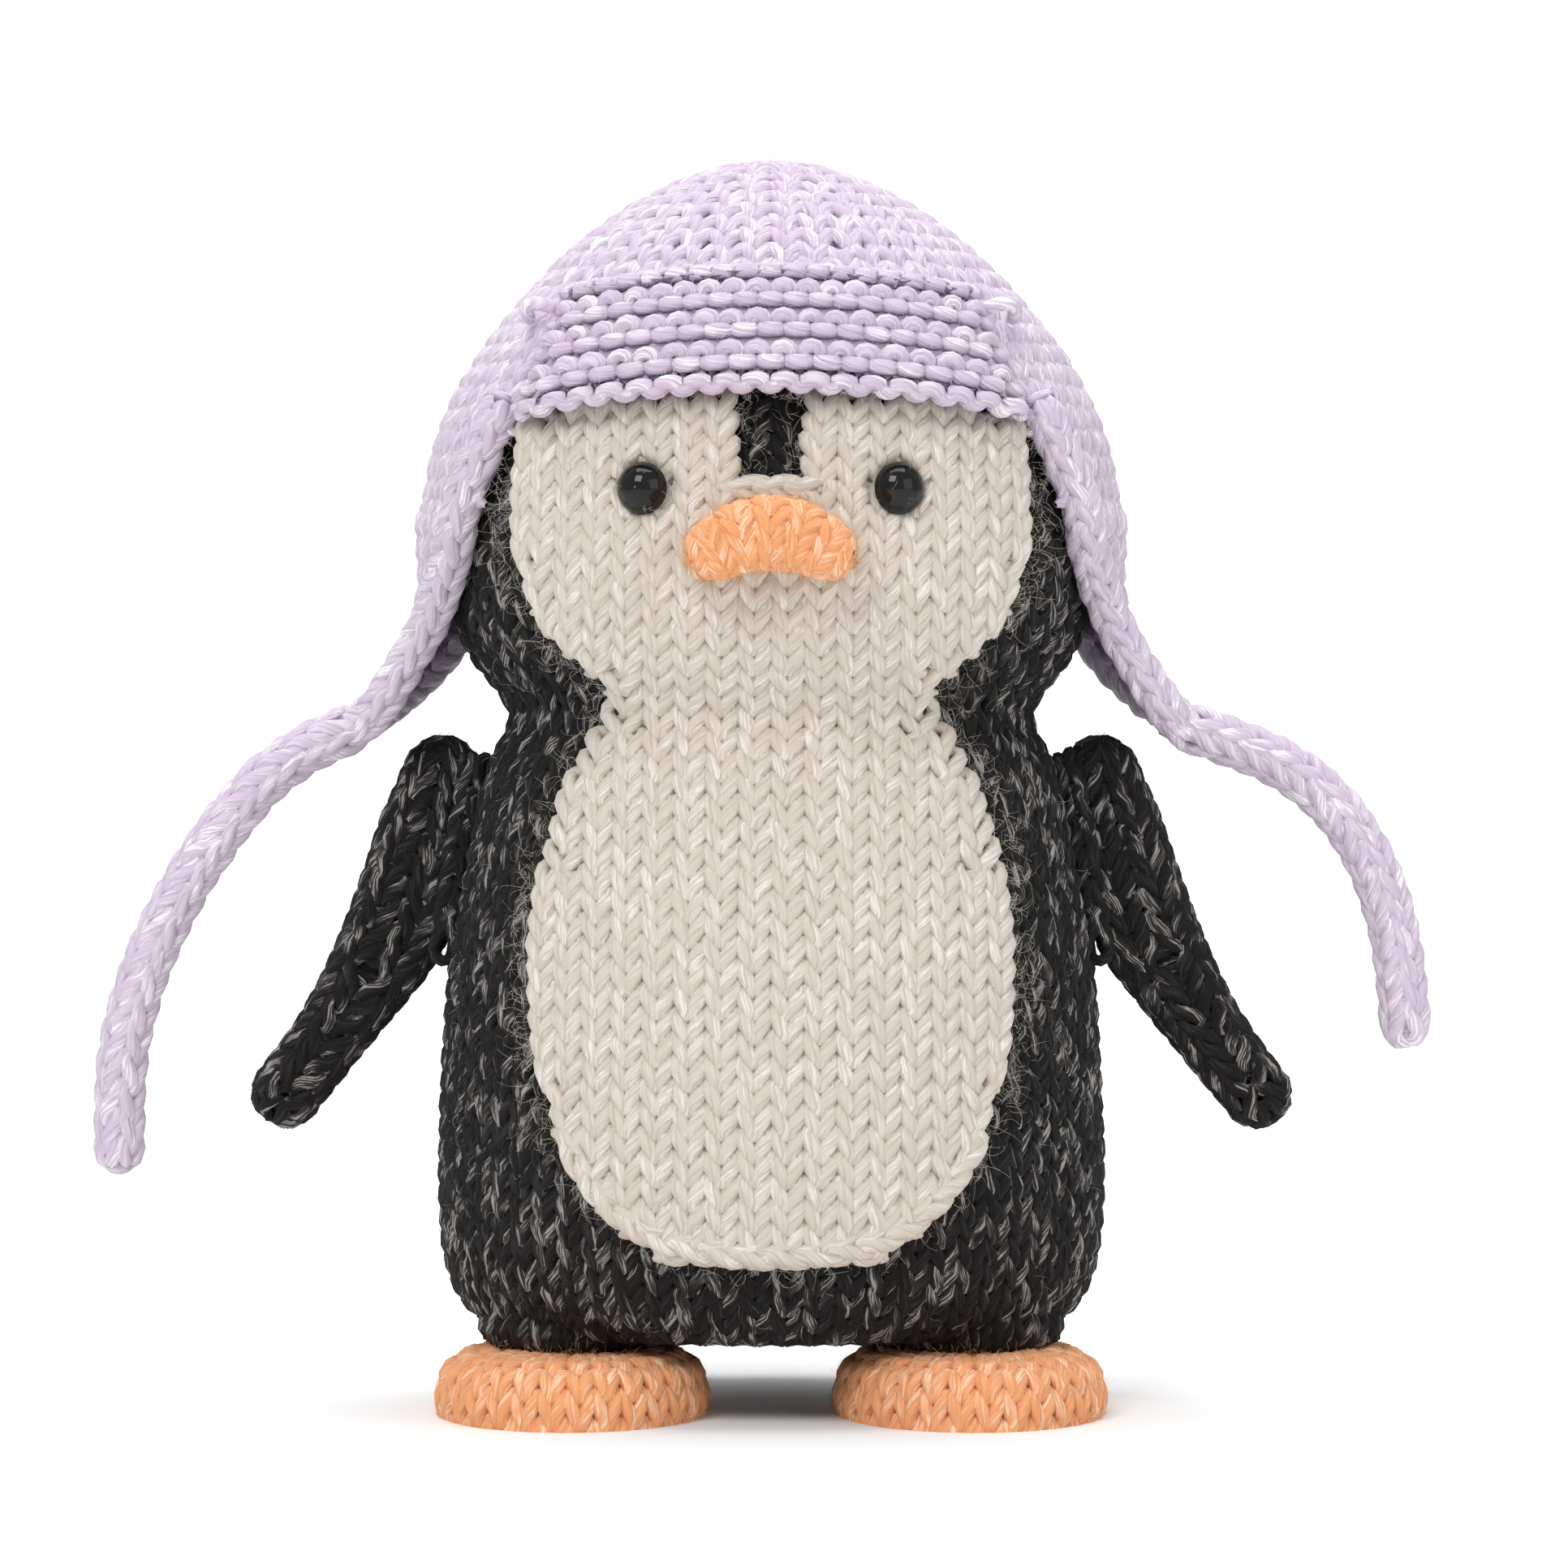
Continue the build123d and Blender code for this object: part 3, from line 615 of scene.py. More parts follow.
def round_rows(base, first, last, pitch, wale, keep, most=8):
    """Rows up a round piece, with decreases in eight lines as it closes at the top."""
    sectors = 8
    rows = []
    for place in np.arange(first, last, pitch):
        if place > 0.5 * last:
            most = min(most, max(1, round(girth(base, place) / wale / sectors)))
        rows += kept_runs(base, place, pitch * row_overlap, most * sectors, keep)
    return rows


def shows_from_front(node, point, margin):
    """How many of five lines of sight round a point, from in front, meet a CAD piece."""
    return sum(felt_from_front(node, point.x + dx, point.z + dz) is not None
               for dx, dz in ((0, 0), (margin, 0), (-margin, 0), (0, margin), (0, -margin)))


bag_heights = np.concatenate([np.arange(12.7, 18, 1.0), np.arange(18, 101.5, 2.2)]) * mm
bag_cloth = round_cloth("body_cover", bag_heights, dome_height)
bag_along = bag_cloth["along"]


def bare_black(point):
    return point.y > bag_middle or shows_from_front("front_panel", point, 3.5 * mm) < 5


bag_rows = round_rows(bag_cloth, 0.6 * mm, bag_along[-1] - 1.2 * mm, row_pitch, stitch_width, bare_black)
neck_height = 84 * mm
neck_along = np.interp(neck_height, bag_cloth["points"][:len(bag_heights), quarter, 2],
                       bag_along[:len(bag_heights)])
belly_along = neck_along * 0.5
body_pieces = []
for name, low, high in (("belly_knit", 0, belly_along), ("chest_knit", belly_along, neck_along),
                        ("head_knit", neck_along, 1)):
    rows = [row for row in bag_rows if low <= row[0] < high]
    body_pieces.append(knit(name, bag_cloth, rows, yarn_thick, black_wool, body_relief, rings=14, sides=6,
                            lift=0.25 * mm - (yarn_thick + body_relief), seed=21))
# Painted shade: a dark sheet behind the loops, in the shade colour, where the gaps between stitches are in
# shadow
body_shade_backing = backing("body_shade_backing", bag_cloth, 1.55 * mm, black_wool, cap_start=True, cap_end=True)
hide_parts("body_cover")
below_hat = (0, neck_along + 45 * mm)
body_pieces.append(fuzz_on("body_fuzz", bag_cloth, 5600, 2.6 * mm, 0.022 * mm, black_fibre, (31, 32),
                           keep=bare_black, along=below_hat, curl=1.2))
body_pieces.append(fuzz_on("body_pale_fuzz", bag_cloth, 700, 3.0 * mm, 0.016 * mm, grey_fibre, (33, 34),
                           keep=bare_black, along=below_hat, curl=1.4))

# The legs are short stubs under the bag, closed where the feet are sewn on
leg_x = 22.4 * mm
leg_middle = bag_middle - 7.0 * mm
leg_profile = ((10.9, 4.2), (11.1, 2.8), (11.6, 1.9), (12.4, 1.5), (13.6, 1.5), (16.0, 1.9))
turn = np.linspace(0, 2 * math.pi, 49)
for side_name, side in (("right", -1), ("left", 1)):
    rings = np.array([stacked(side * leg_x + (13.0 - shrink) * mm * np.sin(turn),
                              leg_middle + (17.0 - shrink) * mm * np.cos(turn), height * mm)
                      for height, shrink in leg_profile])
    leg_cloth = cloth(rings, np.linspace(0, 1, 49), steps_along(rings[:, 0]), closed=True)
    leg_top = leg_cloth["along"][-1]
    leg_rows = ring_rows(leg_top - 5.4 * mm, leg_top - 1 * mm, row_pitch, row_pitch, 25)
    body_pieces.append(knit(f"leg_knit_{side_name}", leg_cloth, leg_rows, yarn_thick, black_wool, body_relief,
                            rings=14, sides=6, lift=-1.0 * mm, seed=25))
    # Painted shade: a sheet behind the leg's loops, in the shade colour of the gaps between stitches
    body_pieces.append(backing(f"leg_shade_backing_{side_name}", leg_cloth, 0.6 * mm, black_wool, cap_start=True))
for piece in [body_shade_backing, *body_pieces]:
    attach(piece, "torso")

# ---------------------------------------------------------------- face and tummy panel
# One cream piece knitted flat, sewn on over the face and tummy, with a notch for the black stripe.
# Its stitches run straight up and down, and its edges keep the scallops of the row ends.
panel_stand = 2.3 * mm
panel_wale = 3.75 * mm
panel_step = 1.5 * mm
# The third colour is painted shade; the second is partly pale fibre and partly painted highlight
cream_wool = wool_finish("cream wool", (0.61, 0.55, 0.475), (0.78, 0.73, 0.67), (0.20, 0.165, 0.125), 0.5,
                         0.45, 0.08, (1.0, 0.95, 0.88), depth=0.00022)
cream_fibre = fibre_finish("cream fibre", (0.80, 0.74, 0.65))


def read_at(places, known, line):
    """A line of points read at other places along it."""
    return np.stack([np.interp(places, known, line[:, axis]) for axis in range(3)], -1)


def front_cloth(base, reach, step, outwards):
    """The front of a round surface, measured in arc from its middle line."""
    columns = np.arange(-reach, reach + step / 2, step)
    rows = len(base["along"])
    points = np.zeros((rows, len(columns), 3))
    shares = np.linspace(0.2, 0.8, 121)
    for row in range(rows):
        ring, _ = on_cloth(base, shares, np.full(len(shares), base["along"][row]), outwards)
        arc = steps_along(ring)
        points[row] = read_at(columns, arc - arc[len(shares) // 2], ring)
    return cloth(points, columns, steps_along(points[:, len(columns) // 2]))


face_row = np.searchsorted(bag_cloth["points"][:, 2 * quarter, 2], 126 * mm)
front_base = {**bag_cloth, **{part: bag_cloth[part][:face_row] for part in ("points", "normals", "along")}}
panel_cloth = front_cloth(front_base, 42 * mm, panel_step, panel_stand)
panel_along = panel_cloth["along"]
middle_column = len(panel_cloth["across"]) // 2


def fitted_row(base, place, rise, wale, there, inset=0.45 * mm):
    """One flat row as runs of stitches, the end stitches fitted to the piece's outline."""
    spots = np.arange(base["across"][0], base["across"][-1], 0.25 * mm)
    points, _ = on_cloth(base, spots, np.full(len(spots), place))
    inside = [there(Vector(p)) for p in points] + [False]
    runs, start = [], None
    for k, held in enumerate(inside):
        if held and start is None:
            start = spots[k] + inset
        elif not held and start is not None:
            end = spots[k - 1] - inset
            if end - start > 0.4 * wale:
                middle = [e for e in np.arange(round(start / wale) - 1, round(end / wale) + 2) * wale
                          if start + 0.55 * wale < e < end - 0.55 * wale]
                runs.append((place, rise, [start, *middle, end], False))
            start = None
    return runs


eye_margin = 4.5 * mm
eye_dip = 1.3 * mm
eye_dip_reach = 3.5 * mm
eye_places = [(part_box(name)[0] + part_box(name)[1]) / 2 for name in ("eye_left", "eye_right")]


def in_panel(point):
    if any(math.hypot(point.x - eye.x, point.z - eye.z) < eye_margin for eye in eye_places):
        return True
    return felt_from_front("front_panel", point.x, point.z) is not None


def chain(name, line, radius, thick, material, pitch, rise, first=0.5 * mm, last=None, stitches=2,
          relief=0.2 * mm, round_start=False, round_end=False, turns=16, **strand):
    """A narrow tube of loops along a line. The rows run to its end unless last says where they stop."""
    base = tube_cloth(line, radius, round_start, round_end, turns)
    rows = ring_rows(first, last or base["along"][-1], pitch, rise, stitches)
    return knit(name, base, rows, thick, material, relief, **strand)


def reshape(piece, change):
    """Passes a piece's vertices, as rows of x, y and z, to change(), which moves them in place."""
    vertices = piece.data.vertices
    places = np.zeros(len(vertices) * 3)
    vertices.foreach_get("co", places)
    change(places.reshape(-1, 3))
    vertices.foreach_set("co", places)


def dip_behind_eyes(places):
    """The stitches dip behind the eyes, which are drawn into the face."""
    for eye in eye_places:
        away = np.hypot(places[:, 0] - eye.x, places[:, 2] - eye.z)
        places[:, 1] += eye_dip * np.clip((eye_dip_reach - away) / (0.5 * mm), 0, 1)


panel_rows = []
for place in np.arange(10.6 * mm, panel_along[-1], row_pitch):
    panel_rows += fitted_row(panel_cloth, place, row_pitch * row_overlap, panel_wale, in_panel)
panel_knit = knit("panel_knit", panel_cloth, panel_rows, 0.95 * mm, cream_wool, 0.45 * mm, lift=-0.95 * mm,
                  seed=41)
reshape(panel_knit, dip_behind_eyes)
# The lowest row is bound off in a chain that follows the rounded edge
chain_in = 0.9 * mm
bound_off = []
for x in np.linspace(-23, 23, 47) * mm:
    low = next(z for z in np.arange(18, 60, 0.1) * mm if in_panel(Vector((x, 0, z))))
    column = middle_column + round(x / panel_step)
    place = np.interp(low + chain_in, panel_cloth["points"][:, column, 2], panel_along)
    bound_off.append(on_cloth(panel_cloth, np.array([x * 1.04]), np.array([place]), -chain_in)[0][0])
panel_chain = chain("panel_chain", np.array(bound_off), 0.75 * mm, 0.92 * mm, cream_wool, pitch=3.7 * mm,
                    rise=3.0 * mm, seed=42)
# A shorter chain closes the notch under the black stripe
notch_low = next(z for z in np.arange(118, 100, -0.1) * mm if in_panel(Vector((0, 0, z))))
notch_place = np.interp(notch_low - chain_in, panel_cloth["points"][:, middle_column, 2], panel_along)
notch_line, _ = on_cloth(panel_cloth, np.linspace(-4.8, 4.8, 27) * mm, np.full(27, notch_place), -1.0 * mm)
notch_chain = chain("notch_chain", notch_line, 0.8 * mm, 0.92 * mm, cream_wool, pitch=3.4 * mm,
                    rise=2.8 * mm, seed=48)


def trimmed(piece, keep):
    """Takes away the faces of a backing whose middles keep() refuses."""
    mesh = piece.data
    bad = [p.index for p in mesh.polygons if not keep(p.center)]
    edit = bmesh.new()
    edit.from_mesh(mesh)
    edit.faces.ensure_lookup_table()
    bmesh.ops.delete(edit, geom=[edit.faces[i] for i in bad], context="FACES")
    edit.to_mesh(mesh)
    edit.free()
    return piece


# Painted shade: a sheet behind the panel's loops, in the cream shade colour of the gaps between stitches
panel_shade_backing = trimmed(backing("panel_shade_backing", panel_cloth, 1.3 * mm, cream_wool),
                       lambda p: shows_from_front("front_panel", p, 1.5 * mm) == 5)
panel_fuzz = fuzz_on("panel_fuzz", panel_cloth, 1800, 2.2 * mm, 0.018 * mm, cream_fibre, (43, 44),
                     keep=lambda p: shows_from_front("front_panel", p, 0.3 * mm) >= 4, curl=1.3)
edge_fuzz = fuzz_on("panel_edge_fuzz", panel_cloth, 15000, 4.6 * mm, 0.014 * mm, cream_fibre, (45, 46),
                    keep=lambda p: 1 <= shows_from_front("front_panel", p, 1.6 * mm) <= 4, curl=1.5, lean=1.8)
for piece in (panel_knit, panel_chain, notch_chain, panel_shade_backing, panel_fuzz, edge_fuzz):
    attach(piece, "torso")
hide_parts("front_panel")

# ---------------------------------------------------------------- beak
# A little arched pad of pale orange wool, seven stitches across, its drooping ends sewn to the face.
# The third colour is painted shade; the second is partly pale fibre and partly painted highlight
orange_wool = wool_finish("orange wool", (0.82, 0.36, 0.160), (0.95, 0.65, 0.44), (0.40, 0.11, 0.03), 0.5,
                          0.42, 0.08, (1.0, 0.85, 0.7), depth=0.00025)
orange_fibre = fibre_finish("orange fibre", (0.95, 0.52, 0.28))
beak_low, beak_high = (Vector(corner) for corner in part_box("beak_cover"))
beak_thick = 6.8 * mm
beak_arch = 2.1 * mm
beak_fuller = 1.5 * mm
beak_grid = 25
spine_y = beak_low.y + 3.6 * mm
spine_half = beak_high.x - beak_thick / 2 * 0.92
# The spine takes up this share of the columns, and the rounded ends the rest
spine_share = 0.72
beak_points = np.zeros((beak_grid, beak_grid, 3))
for column, share in enumerate(np.linspace(-1, 1, beak_grid)):
    inner = max(-1.0, min(1.0, share / spine_share))
    beyond = (share - spine_share * inner) / (1 - spine_share)
    fold = math.asin(max(-1.0, min(1.0, beyond))) if abs(share) > spine_share else 0.0
    slope = -inner * 2 * beak_arch / spine_half
    tangent = Vector((1, 0, slope)).normalized()
    up = Vector((-slope, 0, 1)).normalized()
    centre = Vector((inner * spine_half, spine_y, beak_high.z - beak_thick / 2 - beak_arch * inner**2))
    for row, turn in enumerate(np.linspace(-3.0, 3.0, beak_grid)):
        way = up * math.sin(turn) + Vector((0, -1, 0)) * math.cos(turn)
        way = way * math.cos(fold) + tangent * math.sin(fold)
        hit = felt_inwards("beak_cover", centre, way, 0.03)
        beak_points[row, column] = hit if hit is not None else centre + way * beak_thick / 2
        # The underside is fuller in the middle than the top's arch
        beak_points[row, column, 2] += beak_fuller * (1 - inner**2) * min(0.0, math.sin(turn))
arc = steps_along(beak_points[beak_grid // 2])
beak_along = steps_along(beak_points[:, beak_grid // 2])
beak_cloth = cloth(beak_points, arc - arc[-1] / 2, beak_along, turned=True)
beak_edges = np.linspace(-0.5, 0.5, 8) * arc[-1] * 0.96
beak_rows = [(place, 2.5 * mm, beak_edges, False)
             for place in np.arange(1.5 * mm, beak_along[-1] - 0.5 * mm, 2.35 * mm)]
beak_knit = knit("beak_knit", beak_cloth, beak_rows, 0.82 * mm, orange_wool, 0.35 * mm, lift=-1.05 * mm,
                 seed=51)
# Painted shade: a sheet behind the beak's loops, in the shade colour of the gaps between stitches
beak_shade_backing = backing("beak_shade_backing", beak_cloth, 1.0 * mm, orange_wool)
beak_fuzz = fuzz_on("beak_fuzz", beak_cloth, 1800, 2.0 * mm, 0.014 * mm, orange_fibre, (52, 53), curl=1.3)
for piece in (beak_knit, beak_shade_backing, beak_fuzz):
    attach(piece, "torso")
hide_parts("beak_cover")

# ---------------------------------------------------------------- eyes
# Polished black plastic domes on shanks that pass through the face to a push-on washer.
def speckled(name, grain, dark, light, rough, detail=2.0, distortion=0.0, bump_depth=0.0, on_object=False):
    """A material in two near tones of fine noise. rough is one number, or a low and a high one."""
    material = bpy.data.materials.new(name)
    material.use_nodes = True
    nodes, link = material.node_tree.nodes, material.node_tree.links.new
    shader = nodes["Principled BSDF"]
    noise = nodes.new("ShaderNodeTexNoise")
    for title, number in (("Scale", grain), ("Detail", detail), ("Distortion", distortion)):
        noise.inputs[title].default_value = number
    tones = nodes.new("ShaderNodeValToRGB")
    for stop, tone in zip(tones.color_ramp.elements, (dark, light)):
        stop.color = (*tone, 1)
    link(noise.outputs["Fac"], tones.inputs[0])
    link(tones.outputs[0], shader.inputs["Base Color"])
    if on_object:
        link(nodes.new("ShaderNodeTexCoord").outputs["Object"], noise.inputs["Vector"])
    if bump_depth:
        bump = nodes.new("ShaderNodeBump")
        bump.inputs["Distance"].default_value = bump_depth
        link(noise.outputs["Fac"], bump.inputs["Height"])
        link(bump.outputs[0], shader.inputs["Normal"])
    if isinstance(rough, tuple):
        spread = nodes.new("ShaderNodeMapRange")
        for socket, number in zip(spread.inputs[1:5], (0.3, 0.7, *rough)):
            socket.default_value = number
        link(noise.outputs["Fac"], spread.inputs[0])
        link(spread.outputs[0], shader.inputs["Roughness"])
    else:
        shader.inputs["Roughness"].default_value = rough
    return material


def finish_node(node, material):
    """Gives a CAD piece that is shown as it is its only material."""
    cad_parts[node].data.materials.clear()
    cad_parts[node].data.materials.append(material)


eye_plastic = speckled("eye plastic", 900, (0.004, 0.004, 0.0045), (0.009, 0.009, 0.010), (0.03, 0.09),
                       detail=3, on_object=True)
eye_plastic.node_tree.nodes["Principled BSDF"].inputs["Specular IOR Level"].default_value = 0.32
for name in ("eye_left", "eye_right"):
    finish_node(name, eye_plastic)

# ---------------------------------------------------------------- feet
# Flat oval pads of pale orange wool, knitted over the toe and sewn under the legs.
foot_turns = 60
foot_tilts = np.concatenate([np.linspace(-90, -25, 9), np.linspace(-22, 22, 9), np.linspace(25, 90, 12)])
foot_stitch = 3.6 * mm


def flat_on_floor(places):
    """The sole's stitches are pressed flat where the foot stands."""
    places[:, 2] = np.maximum(places[:, 2], 0.1 * mm)


for side_name in ("right", "left"):
    node = f"foot_{side_name}"
    low, high = (Vector(corner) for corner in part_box(node))
    centre = (low + high) / 2
    half = (high - low) / 2
    points = np.zeros((len(foot_tilts), foot_turns + 1, 3))
    for row, tilt in enumerate(np.radians(foot_tilts)):
        for column, turn in enumerate(np.linspace(0, 2 * math.pi, foot_turns + 1)):
            flat = Vector((half.x * math.sin(turn), half.y * math.cos(turn), 0)) * math.cos(tilt)
            way = (flat + Vector((0, 0, half.z * math.sin(tilt)))).normalized()
            points[row, column] = felt_inwards(node, centre, way, 0.06)
    edge = (steps_along(points[:, foot_turns // 4]) + steps_along(points[:, foot_turns // 2])) / 2
    foot_cloth = cloth(points, np.linspace(0, 1, foot_turns + 1), edge, closed=True)
    foot_cloth["normals"][0], foot_cloth["normals"][-1] = (0, 0, -1), (0, 0, 1)
    foot_rows = []
    for place in np.arange(3.4 * mm, edge[-1] - 3 * mm, 3.5 * mm):
        stitches = max(6, min(30, 6 * round(girth(foot_cloth, place) / foot_stitch / 6)))
        foot_rows.append((place, 3.0 * mm, np.linspace(0, 1, stitches + 1), True))
    foot_knit = knit(f"foot_knit_{side_name}", foot_cloth, foot_rows, 0.88 * mm, orange_wool, 0.55 * mm,
                     lift=-0.85 * mm, seed=61)
    reshape(foot_knit, flat_on_floor)
    # Painted shade: a sheet behind the foot's loops, in the shade colour of the gaps between stitches
    foot_shade_backing = backing(f"foot_shade_backing_{side_name}", foot_cloth, 1.4 * mm, orange_wool)
    foot_fuzz = fuzz_on(f"foot_fuzz_{side_name}", foot_cloth, 3200, 2.4 * mm, 0.015 * mm, orange_fibre,
                        (62, 63), keep=lambda p: p.z > 2.6 * mm, curl=1.3)
    for piece in (foot_knit, foot_shade_backing, foot_fuzz):
        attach(piece, "torso")
    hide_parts(node)

# ---------------------------------------------------------------- flippers
# Flat tubes of charcoal wool, six to ten stitches round, sewn to the body's sides. The stitches run
# from the shoulder to the tip, and the sewing stays with the body.
arm_spine = [(0.0, 4.0), (0.3, 0.2), (2.6, -8.0), (5.8, -18.0), (11.0, -27.0), (15.4, -33.0), (18.6, -37.5)]
arm_turns = 40
cap_tilts = (0.4, 0.75, 1.1, 1.45)
stations = [(2, -tilt) for tilt in reversed(cap_tilts)] + [(i, 0.0) for i in range(2, 39, 2)]
stations += [(38, tilt) for tilt in cap_tilts]
seam_bend = ([57.5, 67, 76, 80.5], [38.3, 37.0, 35.2, 34.0])


def smoothed(line):
    """A line of points, each averaged with its neighbours over nine."""
    return np.stack([np.convolve(np.pad(line[:, axis], 4, "edge"), np.ones(9) / 9, "valid")
                     for axis in range(3)], -1)


for side_name, side in (("right", -1), ("left", 1)):
    node = f"flipper_{side_name}"
    shoulder = Vector((side * 38.7 * mm, bag_middle, 77 * mm))
    spine = np.array([(shoulder.x + side * x * mm, bag_middle, shoulder.z + z * mm) for x, z in arm_spine])
    spine = read_at(np.linspace(0, len(spine) - 1, 41), np.arange(len(spine)), spine)
    tangents = unit(smoothed(unit(np.gradient(spine, axis=0))))
    points = np.zeros((len(stations), arm_turns + 1, 3))
    for row, (i, tilt) in enumerate(stations):
        start, ahead = Vector(spine[i]), Vector(tangents[i])
        beside = Vector((ahead.z, 0, -ahead.x))
        for column, turn in enumerate(np.linspace(0, 2 * math.pi, arm_turns + 1)):
            across = (Vector((0, 1, 0)) * math.cos(turn) * 0.30 + beside * math.sin(turn)).normalized()
            way = (across * math.cos(tilt) + ahead * math.sin(tilt)).normalized()
            hit = felt_inwards(node, start, way, 0.03)
            points[row, column] = hit if hit is not None else start + way * 2 * mm
    edge = sum(steps_along(points[:, column]) for column in (0, arm_turns // 4, arm_turns // 2)) / 3
    arm_cloth = cloth(points, np.linspace(0, 1, arm_turns + 1), edge, closed=True)
    half_way = len(points) // 2
    outwards = points[half_way, 0] - points[half_way].mean(0)
    if (arm_cloth["normals"][half_way, 0] * outwards).sum() < 0:
        arm_cloth["normals"] = -arm_cloth["normals"]
    whole = edge[-1]
    arm_rows = []
    for place in np.arange(1.4 * mm, whole - 1.2 * mm, row_pitch):
        stitches = 6 if place < 4 * mm or place > whole - 4 * mm else 10 if place < 0.55 * whole else 8
        arm_rows.append((place, row_pitch, np.linspace(0, 1, stitches + 1) + 0.25, True))
    arm_knit = knit(f"flipper_knit_{side_name}", arm_cloth, arm_rows, yarn_thick, black_wool, 0.42 * mm,
                    rings=14, sides=6, lift=-0.85 * mm, seed=71)
    # Painted shade: a sheet behind the flipper's loops, in the shade colour of the gaps between stitches
    arm_shade_backing = backing(f"flipper_shade_backing_{side_name}", arm_cloth, 1.2 * mm, black_wool, cap_start=True,
                         cap_end=True)
    arm_fuzz = fuzz_on(f"flipper_fuzz_{side_name}", arm_cloth, 1500, 2.4 * mm, 0.022 * mm, black_fibre,
                       (72, 73))
    for piece in (arm_knit, arm_shade_backing, arm_fuzz):
        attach(piece, node)
    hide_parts(node)
    # The seam, a short chain of stitches up the body's side behind the flipper's front edge
    seam_line = np.array([(side * np.interp(z, *seam_bend) * mm, bag_middle - 2.9 * mm, z * mm)
                          for z in np.linspace(57.5, 80.5, 24)])
    seam_knit = chain(f"seam_knit_{side_name}", seam_line, 1.0 * mm, 0.8 * mm, black_wool, pitch=3.6 * mm,
                      rise=3.2 * mm, first=1 * mm, last=22 * mm, turns=24, rings=14, sides=6, seed=75)
    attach(seam_knit, "torso")

# ---------------------------------------------------------------- hat crown
# A thicker lilac cap knitted in the round, decreased in eight lines to its top.
hat_row = 2.8 * mm
hat_wale = 3.4 * mm
hat_yarn = 0.95 * mm
hat_relief = 0.5 * mm
rim_height = 107.2 * mm
# The crown's stitches are left out where the peak covers them, and its cloth a little lower
peak_half = 28.5 * mm
hidden_below = 124 * mm
crown_cloth = round_cloth("hat_crown", [rim_height], rim_height, tilts=30)


def on_crown(point):
    """True where the crown is there and the peak doesn't hide it."""
    if point.y < bag_middle and point.z < hidden_below and abs(point.x) < peak_half:
        return False
    way = Vector((point.x, point.y - bag_middle, point.z - 107 * mm)).normalized()
    hit = felt("hat_crown", point + way * 0.01, -way, 0.012)
    if hit is None and point.z > 108 * mm:
        return False
    if point.y > bag_middle:
        return True
    return shows_from_front("hat_peak", point, 3.2 * mm) < 5 and hit is not None


def on_crown_cloth(point):
    if point.y > bag_middle:
        return True
    in_front = shows_from_front("hat_crown", point, 0.5 * mm) >= 3
    return in_front and (point.z > hidden_below - 3.5 * mm or abs(point.x) > peak_half)


crown_rows = round_rows(crown_cloth, 0.8 * mm, crown_cloth["along"][-1] - 1.3 * mm, hat_row, hat_wale,
                        on_crown, most=9)
crown_knit = knit("crown_knit", crown_cloth, crown_rows, hat_yarn, lilac_wool, hat_relief, rings=14, sides=7,
                  lift=0.3 * mm - (hat_yarn + hat_relief), seed=81)
# Painted shade: a sheet behind the crown's loops, in the shade colour of the gaps between stitches
crown_shade_backing = trimmed(backing("crown_shade_backing", crown_cloth, 1.7 * mm, lilac_wool), on_crown_cloth)
crown_fuzz = fuzz_on("crown_fuzz", crown_cloth, 5200, 2.4 * mm, 0.015 * mm, lilac_fibre, (82, 83),
                     keep=on_crown, lift=-0.2 * mm, curl=1.4)

# ---------------------------------------------------------------- hat peak
# A band turned up over the forehead, so its purl side shows, and tacked down at its corners.
peak_stand = 3.2 * mm
peak_rows_up = 5
peak_wale = 3.5 * mm
peak_outer = {**crown_cloth, "points": crown_cloth["points"] + crown_cloth["normals"] * peak_stand}
# Half its width, the height of its ends and the rise of its middle, at the lower and the upper edge
low_half, low_height, low_bow = 30.3, 118.4, 2.9
high_half, high_height, high_bow = 24.4, 133.4, 2.2
peak_columns = np.linspace(-1, 1, 61)
bow = 1 - peak_columns ** 2
# The ends close in towards the crown
close_in = 3.0 * mm * np.clip((np.abs(peak_columns) - 0.86) / 0.14, 0, 1) ** 2
peak_points = []
for share in np.linspace(0, 1, 19):
    x = peak_columns * ((low_half + (high_half - low_half) * share) * mm)
    z = ((low_height + low_bow * bow) * (1 - share) + (high_height + high_bow * bow) * share) * mm
    side_line = peak_outer["points"][:-1, 0]
    wide = np.interp(z, side_line[:, 2], side_line[:, 1] - bag_middle) / bag_squash
    peak_points.append(stacked(x, bag_middle - bag_squash * np.sqrt(wide ** 2 - x ** 2) + close_in, z))
peak_points = np.array(peak_points)
peak_across = peak_columns * steps_along(peak_points[5])[-1] / 2


def peak_surface():
    return cloth(peak_points, peak_across, steps_along(peak_points[:, len(peak_columns) // 2]), turned=True)


# The lower edge rolls under towards the forehead, and the upper one lies down on the crown
facing = peak_surface()["normals"]
under = [peak_points[0] - facing[0] * depth - np.array((0, 0, drop)) for depth, drop in
         ((2.9 * mm, 0.1 * mm), (1.6 * mm, 0.8 * mm), (0.5 * mm, 0.5 * mm))]
over = [peak_points[-1] - facing[-1] * depth + np.array((0, 0, rise)) for depth, rise in
        ((0.7 * mm, 0.5 * mm), (2.4 * mm, 0.8 * mm))]
peak_points = np.concatenate([under, peak_points, over])
peak_cloth = peak_surface()
peak_stitches = 2 * round(peak_across[-1] / peak_wale)
peak_edges = np.linspace(peak_across[0], peak_across[-1], peak_stitches + 1)
peak_rows = [(place, 1.05 * mm, peak_edges, False) for place in
             np.linspace(2.9 * mm, peak_cloth["along"][-1] - 1.9 * mm, peak_rows_up)]
